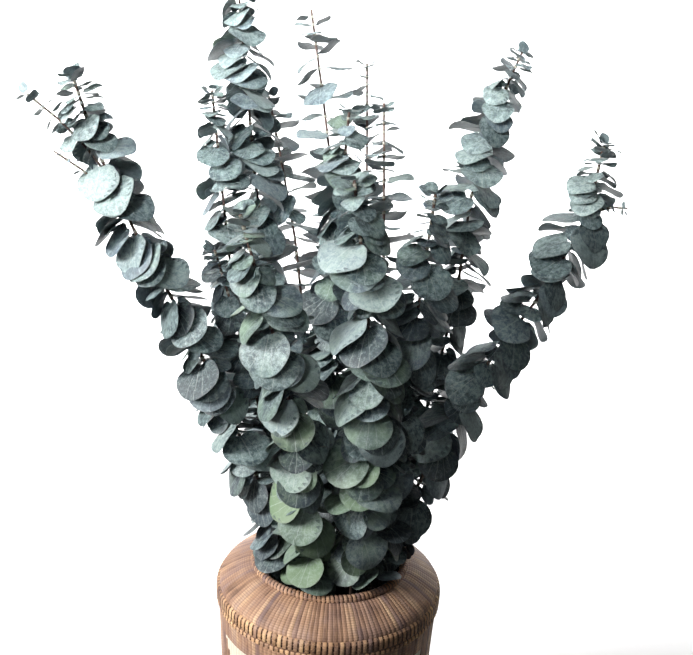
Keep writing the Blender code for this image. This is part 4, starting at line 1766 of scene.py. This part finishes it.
    def placed(
        self, growth: Growth, stem: Stem, pair: tuple, spot: tuple[float, float], ratio: float,
        turn: float, dice: random.Random, rule: Rule, box: Box | None = None,
    ) -> Leaf | None:
        """Draw one leaf and place it with the first size and bend that is clear.

        Args:
            growth: What is placed so far.
            stem: The stem or twig that it grows on.
            pair: The leaf's branch and pair.
            spot: The leaf's distance up the stem and its share of the way.
            ratio: Its size beside the stem's other leaves.
            turn: Its turn round the stem.
            dice: The random numbers, drawn in one order.
            rule: What it is tried by.
            box: The corners that it stays within, if it must.

        Returns:
            The leaf, or None where there is no room.
        """
        at, share = spot
        thick, thin = stem.radii
        total = self.path_length(stem.points)
        root, tangent = self.along(stem.points, at)
        turn += math.radians(dice.uniform(-rule.turn_spread, rule.turn_spread))
        climb = math.radians(dice.gauss(self.climb_at(stem.hang, total - at), self.climb_spread))
        scale = stem.leaf_size * ratio * self.shrink(share, total - at) * dice.uniform(*self.size_range)
        wide = dice.uniform(*self.width_range)
        roll = math.radians(dice.uniform(-self.roll_spread, self.roll_spread))
        fold = dice.uniform(*self.fold_range)
        droop = dice.uniform(*self.droop_range)
        radius = thick + (thin - thick) * at / total
        for part in rule.sizes:
            length, width = self.leaf_length * scale * part, self.leaf_width * scale * part * wide
            for bend in rule.bends:
                axes = self.leaf_frame(tangent, turn, climb + math.radians(bend), roll)
                leaf = Leaf(root, radius, axes, length, width, fold, droop)
                if box and not self.within(leaf, box):
                    continue
                if growth.clear(pair, leaf, rule):
                    growth.add(pair, leaf, rule)
                    return leaf
        return None

    def within(self, leaf: Leaf, box: Box) -> bool:
        """Whether the leaf lies inside a box, as thick and with as much room as a pair's leaf."""
        points, _ = self.shape.solid(leaf, self.pairs.thickness, self.pairs.gap)
        low, high = box
        return all(low[i] < p[i] < high[i] for p in points for i in range(3))

    # Meshes

    def blade(self) -> bpy.types.Object:
        """A leaf blade of unit size with its midrib and neck, laid out by its leaf_place values.

        Returns:
            An object whose points hold their place (along, across, side) and their skin offset.
        """
        places: list[Point] = []
        skins: list[Point] = []
        faces: list[tuple[int, ...]] = []
        rows = self.blade_rows
        columns = self.blade_columns

        def corner(u: float, v: float, side: float) -> int:
            reach = min(1.0, 4 * ((u - 0.5) ** 2 + v * v))
            rise = side * math.sqrt(1 - reach * 0.9) * self.filler.thickness / 2
            places.append((u, v, side))
            skins.append((0.0, 0.0, rise))
            return len(places) - 1

        def spot(row: int, column: float) -> tuple[float, float]:
            turn = math.pi * (1 - row / rows)
            edge_u = 0.5 + 0.5 * math.cos(turn)
            edge_v = 0.5 * math.sin(turn) * (1 - 0.07 * math.cos(turn))
            notch = self.blade_notch * max(0.0, 1 - row / 3)
            lobe = self.blade_lobe * max(0.0, 1 - abs(row - 1.6) / 1.6)
            share = abs(column)
            return edge_u + notch * (1 - share) - lobe * share, edge_v * column

        notch = corner(self.blade_notch, 0.0, 0.0)
        tip = corner(1.0, 0.0, 0.0)
        grids = {}
        for side in (1.0, -1.0):
            for row in range(1, rows):
                for number, column in enumerate(columns):
                    rim = number in (0, len(columns) - 1)
                    if rim and side < 0:
                        grids[side, row, number] = grids[1.0, row, number]
                        continue
                    u, v = spot(row, column)
                    grids[side, row, number] = corner(u, v, 0.0 if rim else side)
            for number in range(len(columns) - 1):
                ring = [(notch, grids[side, 1, number + 1], grids[side, 1, number])]
                for row in range(1, rows - 1):
                    low = grids[side, row, number], grids[side, row, number + 1]
                    high = grids[side, row + 1, number + 1], grids[side, row + 1, number]
                    ring.append((low[0], low[1], high[0], high[1]))
                ring.append((grids[side, rows - 1, number], grids[side, rows - 1, number + 1], tip))
                faces += [face if side < 0 else face[::-1] for face in ring]
        self.add_midrib(places, skins, faces)
        mesh = mesh_of("blade", [(u, v, 0.0) for u, v, _ in places], faces)
        keep(mesh, "leaf_place", "FLOAT_VECTOR", places)
        keep(mesh, "leaf_skin", "FLOAT_VECTOR", skins)
        return link("blade", mesh)

    def add_midrib(self, places: list[Point], skins: list[Point], faces: list[tuple]) -> None:
        """Add the neck and the raised midrib under the blade, three-sided and closed.

        Args:
            places: The blade's places, added to.
            skins: The blade's offsets, added to.
            faces: The blade's faces, added to.
        """
        first = len(places)
        (start, end), (thick, thin) = self.rib_reach, self.rib_radii
        for index in range(self.rib_points):
            share = index / (self.rib_points - 1)
            along = start + (end - start) * share
            radius = (thick - thin) * (1 - share) + thin
            for corner in range(3):
                turn = FULL_TURN * corner / 3 - math.pi / 2
                places.append((along, 0.0, -0.5))
                skins.append((0.0, radius * math.cos(turn), radius * math.sin(turn) - radius * 0.3))
        last = first + (self.rib_points - 1) * 3
        faces += turned_in(sleeve(self.rib_points, 3), first)
        faces += [(first, first + 1, first + 2), (last + 2, last + 1, last)]

    def carrier(
        self, name: str, stems: list[tuple[Stem, list[float]]], leaves: list[Leaf]
    ) -> bpy.types.Object:
        """The points that a branch grows from: leaf points and stem lines.

        Args:
            name: The carrier's name.
            stems: Each stem with the distances of its leaf nodes.
            leaves: The branch's leaves.

        Returns:
            The object that the branch tree runs on.
        """
        points = [leaf.root.copy() for leaf in leaves]
        count = len(points)
        edges: list[tuple[int, int]] = []
        radii, nodes, rises = [0.0] * count, [0.0] * count, [0.0] * count
        for stem, spots in stems:
            total = self.path_length(stem.points)
            for index, (at, node) in enumerate(self.stem_stations(stem, spots, total)):
                spot, _ = self.along(stem.points, at)
                share = at / total
                thick, thin = stem.radii
                radius = (thick + (thin - thick) * share) * (1 + (self.swelling - 1) * node)
                points.append(spot)
                radii.append(radius)
                nodes.append(node)
                rises.append(share)
                if index:
                    edges.append((len(points) - 2, len(points) - 1))
        mesh = mesh_of(name, points, [], edges)
        blank = len(points) - count
        keep(mesh, "is_leaf", "BOOLEAN", [True] * count + [False] * blank)
        keep(mesh, "stem_radius", "FLOAT", radii)
        keep(mesh, "stem_node", "FLOAT", nodes)
        keep(mesh, "stem_rise", "FLOAT", rises)
        none = (0.0, 0.0, 0.0)
        full = 2 * self.shape.roundness
        sizes = [
            (leaf.length * full, leaf.width * full, leaf.stem_radius + self.shape.neck_length)
            for leaf in leaves
        ]
        bends = [(leaf.fold, leaf.droop, leaf.tone * FULL_TURN) for leaf in leaves]
        turns = [self.turn_of(leaf) for leaf in leaves]
        keep(mesh, "leaf_size", "FLOAT_VECTOR", sizes + [none] * blank)
        keep(mesh, "leaf_bend", "FLOAT_VECTOR", bends + [none] * blank)
        keep(mesh, "leaf_root", "FLOAT_VECTOR", [tuple(point) for point in points])
        keep(mesh, "leaf_turn", "QUATERNION", turns + [(1.0, 0.0, 0.0, 0.0)] * blank)
        keep(mesh, "leaf_tone", "FLOAT", [leaf.tone for leaf in leaves] + [0.0] * blank)
        keep(mesh, "leaf_fresh", "FLOAT", [leaf.fresh for leaf in leaves] + [0.0] * blank)
        return link(name, mesh)

    def stem_stations(
        self, stem: Stem, spots: list[float], total: float
    ) -> Iterator[tuple[float, float]]:
        """Distances along a stem and how far each is into a node's swelling."""
        stations = {0.0: 0.0, total: 0.0}
        done = 0.0
        for a, b in zip(stem.points, stem.points[1:]):
            done += (b - a).length
            stations.setdefault(min(done, total), 0.0)
        for at in spots:
            for shift, node in ((-1.0, 0.0), (-0.35, 0.8), (0.0, 1.0), (0.35, 0.8), (1.0, 0.0)):
                station = at + shift * self.node_reach
                if 0.0 < station < total:
                    stations[station] = max(node, stations.get(station, 0.0))
        yield from sorted(stations.items())

    @staticmethod
    def turn_of(leaf: Leaf) -> tuple[float, float, float, float]:
        """The turn from the blade's own axes to the leaf's, as a quaternion."""
        out, across, up = leaf.axes
        matrix = Matrix((out, across, up)).transposed()
        return tuple(matrix.to_quaternion())

    def coloured(self, leaves: list[Leaf], plan: Plan, dice: random.Random, reach: float) -> None:
        """Give each leaf its tone and its greenness: greener low down, darker low down as partly older
        leaves and partly painted shade, and paler near the crown as partly waxier young leaves and
        partly painted light.

        Args:
            leaves: The leaves.
            plan: Their branch.
            dice: The random numbers, drawn in one order.
            reach: The palest tone that they take below the crown.
        """
        low, high = self.shaded_heights
        for leaf in leaves:
            # Painted shade darkens low leaves and painted light pales leaves near the crown, over each
            # leaf's random tone.
            lowness = 1 - share_of(leaf.root.z, low, high)
            waxy_and_lit = self.crown_wax * share_of(leaf.root.z, high, self.crown_height)
            leaf.tone = dice.random() * (reach - self.low_age_and_shade * lowness)
            leaf.tone += waxy_and_lit * (1.0 - leaf.tone)
            leaf.fresh = plan.fresh + self.low_fresh * lowness * plan.fresh
            leaf.fresh += dice.gauss(0, self.fresh_spread)
            if dice.random() < self.young_share:
                leaf.fresh += self.young_fresh

    def stems_of(self, plan: Plan, path: list[Vector]) -> list[Stem]:
        """A branch's stem and its twigs, with the spots of their leaf pairs."""
        spots = self.pair_spots(path, self.first_pair(path), plan.leaf_size)
        stems = [Stem(plan.name, 0, path, self.stem_radii, plan.leaf_size, plan.hang, spots)]
        for number, twig in enumerate(plan.twigs, 1):
            points = self.twig_path(path, twig)
            spots = self.pair_spots(points, twig.length * self.twig_bare_share, twig.leaf_size)
            size, hang = twig.leaf_size, self.twig_hang
            stems.append(Stem(plan.name, number, points, self.twig_radii, size, hang, spots))
        return stems

    def bare(self, paths: dict[str, list[Vector]]) -> Growth:
        """The vase's solids and the bare stems, before any leaf is placed."""
        fixed = []
        for name in VASE_NODES:
            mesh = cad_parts[name].data
            faces = [tuple(face.vertices) for face in mesh.polygons]
            fixed.append(BVHTree.FromPolygons([v.co.copy() for v in mesh.vertices], faces))
        thick, thin = self.stem_radii
        radii = [thick + (thin - thick) * i / (self.stem_points - 1) for i in range(self.stem_points)]
        return Growth(fixed, {name: self.tube(path, radii) for name, path in paths.items()}, self.shape)

    def build(self, box: Box) -> None:
        """Grow and dress every branch.

        Args:
            box: The corners that the added leaves stay within.
        """
        paths = {plan.name: self.branch_path(plan) for plan in PLANS}
        growth = self.bare(paths)
        dice = random.Random(self.seed)
        grown: dict[str, list[tuple[Stem, list[Leaf]]]] = {}
        for plan in PLANS:
            stems = self.stems_of(plan, paths[plan.name])
            grown[plan.name] = [(stem, self.grow_pairs(growth, stem, dice)) for stem in stems]
        finer = random.Random(self.seed + 1)
        blade = self.blade()
        values = {
            "Blade": blade,
            "Blade Finish": BladeFinish().make(),
            "Bark Finish": BarkFinish().make(),
        }
        for plan in PLANS:
            leaves, lines = [], []
            for stem, own in grown[plan.name]:
                more, spots = self.infill(growth, stem, finer, box)
                # A branch's depth lowers its leaves' tones as painted shade.
                self.coloured(own, plan, finer, 1 - plan.depth)
                self.coloured(more, plan, finer, self.infill_tone * (1 - plan.depth))
                leaves += own + more
                lines.append((stem, [at for at, _ in stem.spots] + spots))
            mesh = self.tree.grow(self.carrier(plan.name + "_points", lines, leaves), values)
            place_piece(plan.name.replace("branch_", "") + "_sprig", mesh, plan.name)
            LOG.info("%s: %d leaves", plan.name, len(leaves))
        remove(blade)


# Studio


@dataclass(frozen=True)
class Lamp:
    """A soft square light: where it hangs, what it faces, its sides, its watts and its spread."""

    name: str
    spot: Point
    aim: Point
    size: float
    power: float
    tint: Colour
    spread: float = 180.0

    def hang(self) -> None:
        """Put the light in the scene."""
        light = bpy.data.lights.new(self.name, "AREA")
        light.spread = math.radians(self.spread)
        light.shape = "SQUARE"
        light.size = self.size
        light.energy = self.power
        light.color = paint(self.tint)[:3]
        lamp = bpy.data.objects.new(self.name, light)
        lamp.location = self.spot
        lamp.rotation_euler = (Vector(self.aim) - Vector(self.spot)).to_track_quat("-Z", "Y").to_euler()
        bpy.context.scene.collection.objects.link(lamp)


# A large key from the left front, little fill, one for the upper leaves and two for the wall.
LAMPS = (
    Lamp("key", (-2.0, -0.95, 1.38), (0.0, 0.0, 0.36), 1.0, 112.0, (255, 252, 250)),
    Lamp("top", (-0.3, -0.1, 2.2), (0.0, 0.0, 0.4), 1.0, 2.0, (250, 252, 255)),
    Lamp("crown", (-0.5, -1.7, 1.35), (-0.10, 0.04, 0.78), 0.3, 1.6, (250, 252, 255), 25.0),
    Lamp("wall_left", (-1.4, 1.1, 1.9), (-0.6, 2.3, 0.2), 1.2, 82.0, (255, 255, 255), 120.0),
    Lamp("wall_right", (1.4, 1.1, 1.9), (0.6, 2.3, 0.2), 1.2, 82.0, (255, 255, 255), 120.0),
)


@dataclass
class Studio:
    """The pale floor that rises into a wall, the soft lights and the camera."""

    half_width: float = 1.45
    front: float = -2.5
    back: float = 1.6
    bend: float = 0.8
    wall: float = 1.25
    bend_steps: int = 12
    air_glow: float = 0.06
    eye: Point = (0.004, -0.74, 0.675)
    look_down: float = 17.5
    roll: float = 3.0
    photo_width: int = 693
    focal_pixels: float = 962.0
    sensor: float = 36.0

    def build_floor(self) -> None:
        """The floor, curved up at the back."""
        line = [(self.front, 0.0), (self.back, 0.0)]
        for step in range(1, self.bend_steps + 1):
            turn = math.pi / 2 * step / self.bend_steps
            line.append((self.back + self.bend * math.sin(turn), self.bend * (1 - math.cos(turn))))
        line.append((self.back + self.bend, self.wall))
        points, faces = [], []
        for y, z in line:
            points += [(-self.half_width, y, z), (self.half_width, y, z)]
        for row in range(len(line) - 1):
            a = row * 2
            faces.append((a, a + 1, a + 3, a + 2))
        mesh = mesh_of("studio_floor", points, faces)
        mesh.shade_smooth()
        mesh.materials.append(FloorFinish().make())
        link("studio_floor", mesh)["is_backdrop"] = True

    def build_lights(self) -> None:
        """The lights, and a faint glow of the air."""
        for lamp in LAMPS:
            lamp.hang()
        world = bpy.data.worlds.new("studio_air")
        world.use_nodes = True
        background = world.node_tree.nodes["Background"]
        background.inputs["Color"].default_value = (1.0, 1.0, 1.0, 1.0)
        background.inputs["Strength"].default_value = self.air_glow
        bpy.context.scene.world = world

    def build_camera(self) -> None:
        """The camera at the photograph's viewing angle."""
        camera = bpy.data.cameras.new("camera")
        camera.sensor_width = self.sensor
        camera.lens = self.focal_pixels / self.photo_width * self.sensor
        thing = bpy.data.objects.new("camera", camera)
        tilt = Matrix.Rotation(math.radians(90 - self.look_down), 4, "X")
        spin = Matrix.Rotation(math.radians(self.roll), 4, "Z")
        thing.matrix_world = Matrix.Translation(self.eye) @ tilt @ spin
        bpy.context.scene.collection.objects.link(thing)
        bpy.context.scene.camera = thing

    def build(self) -> None:
        """Build the whole studio."""
        self.build_floor()
        self.build_lights()
        self.build_camera()
        bpy.context.scene.view_settings.view_transform = "Standard"


def main() -> None:
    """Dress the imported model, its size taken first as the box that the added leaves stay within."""
    logging.basicConfig(level=logging.INFO, format="%(name)s: %(message)s")
    cad_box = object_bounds()
    Studio().build()
    VaseLooks().build()
    BranchLooks().build(cad_box)


if __name__ == "__main__":
    main()
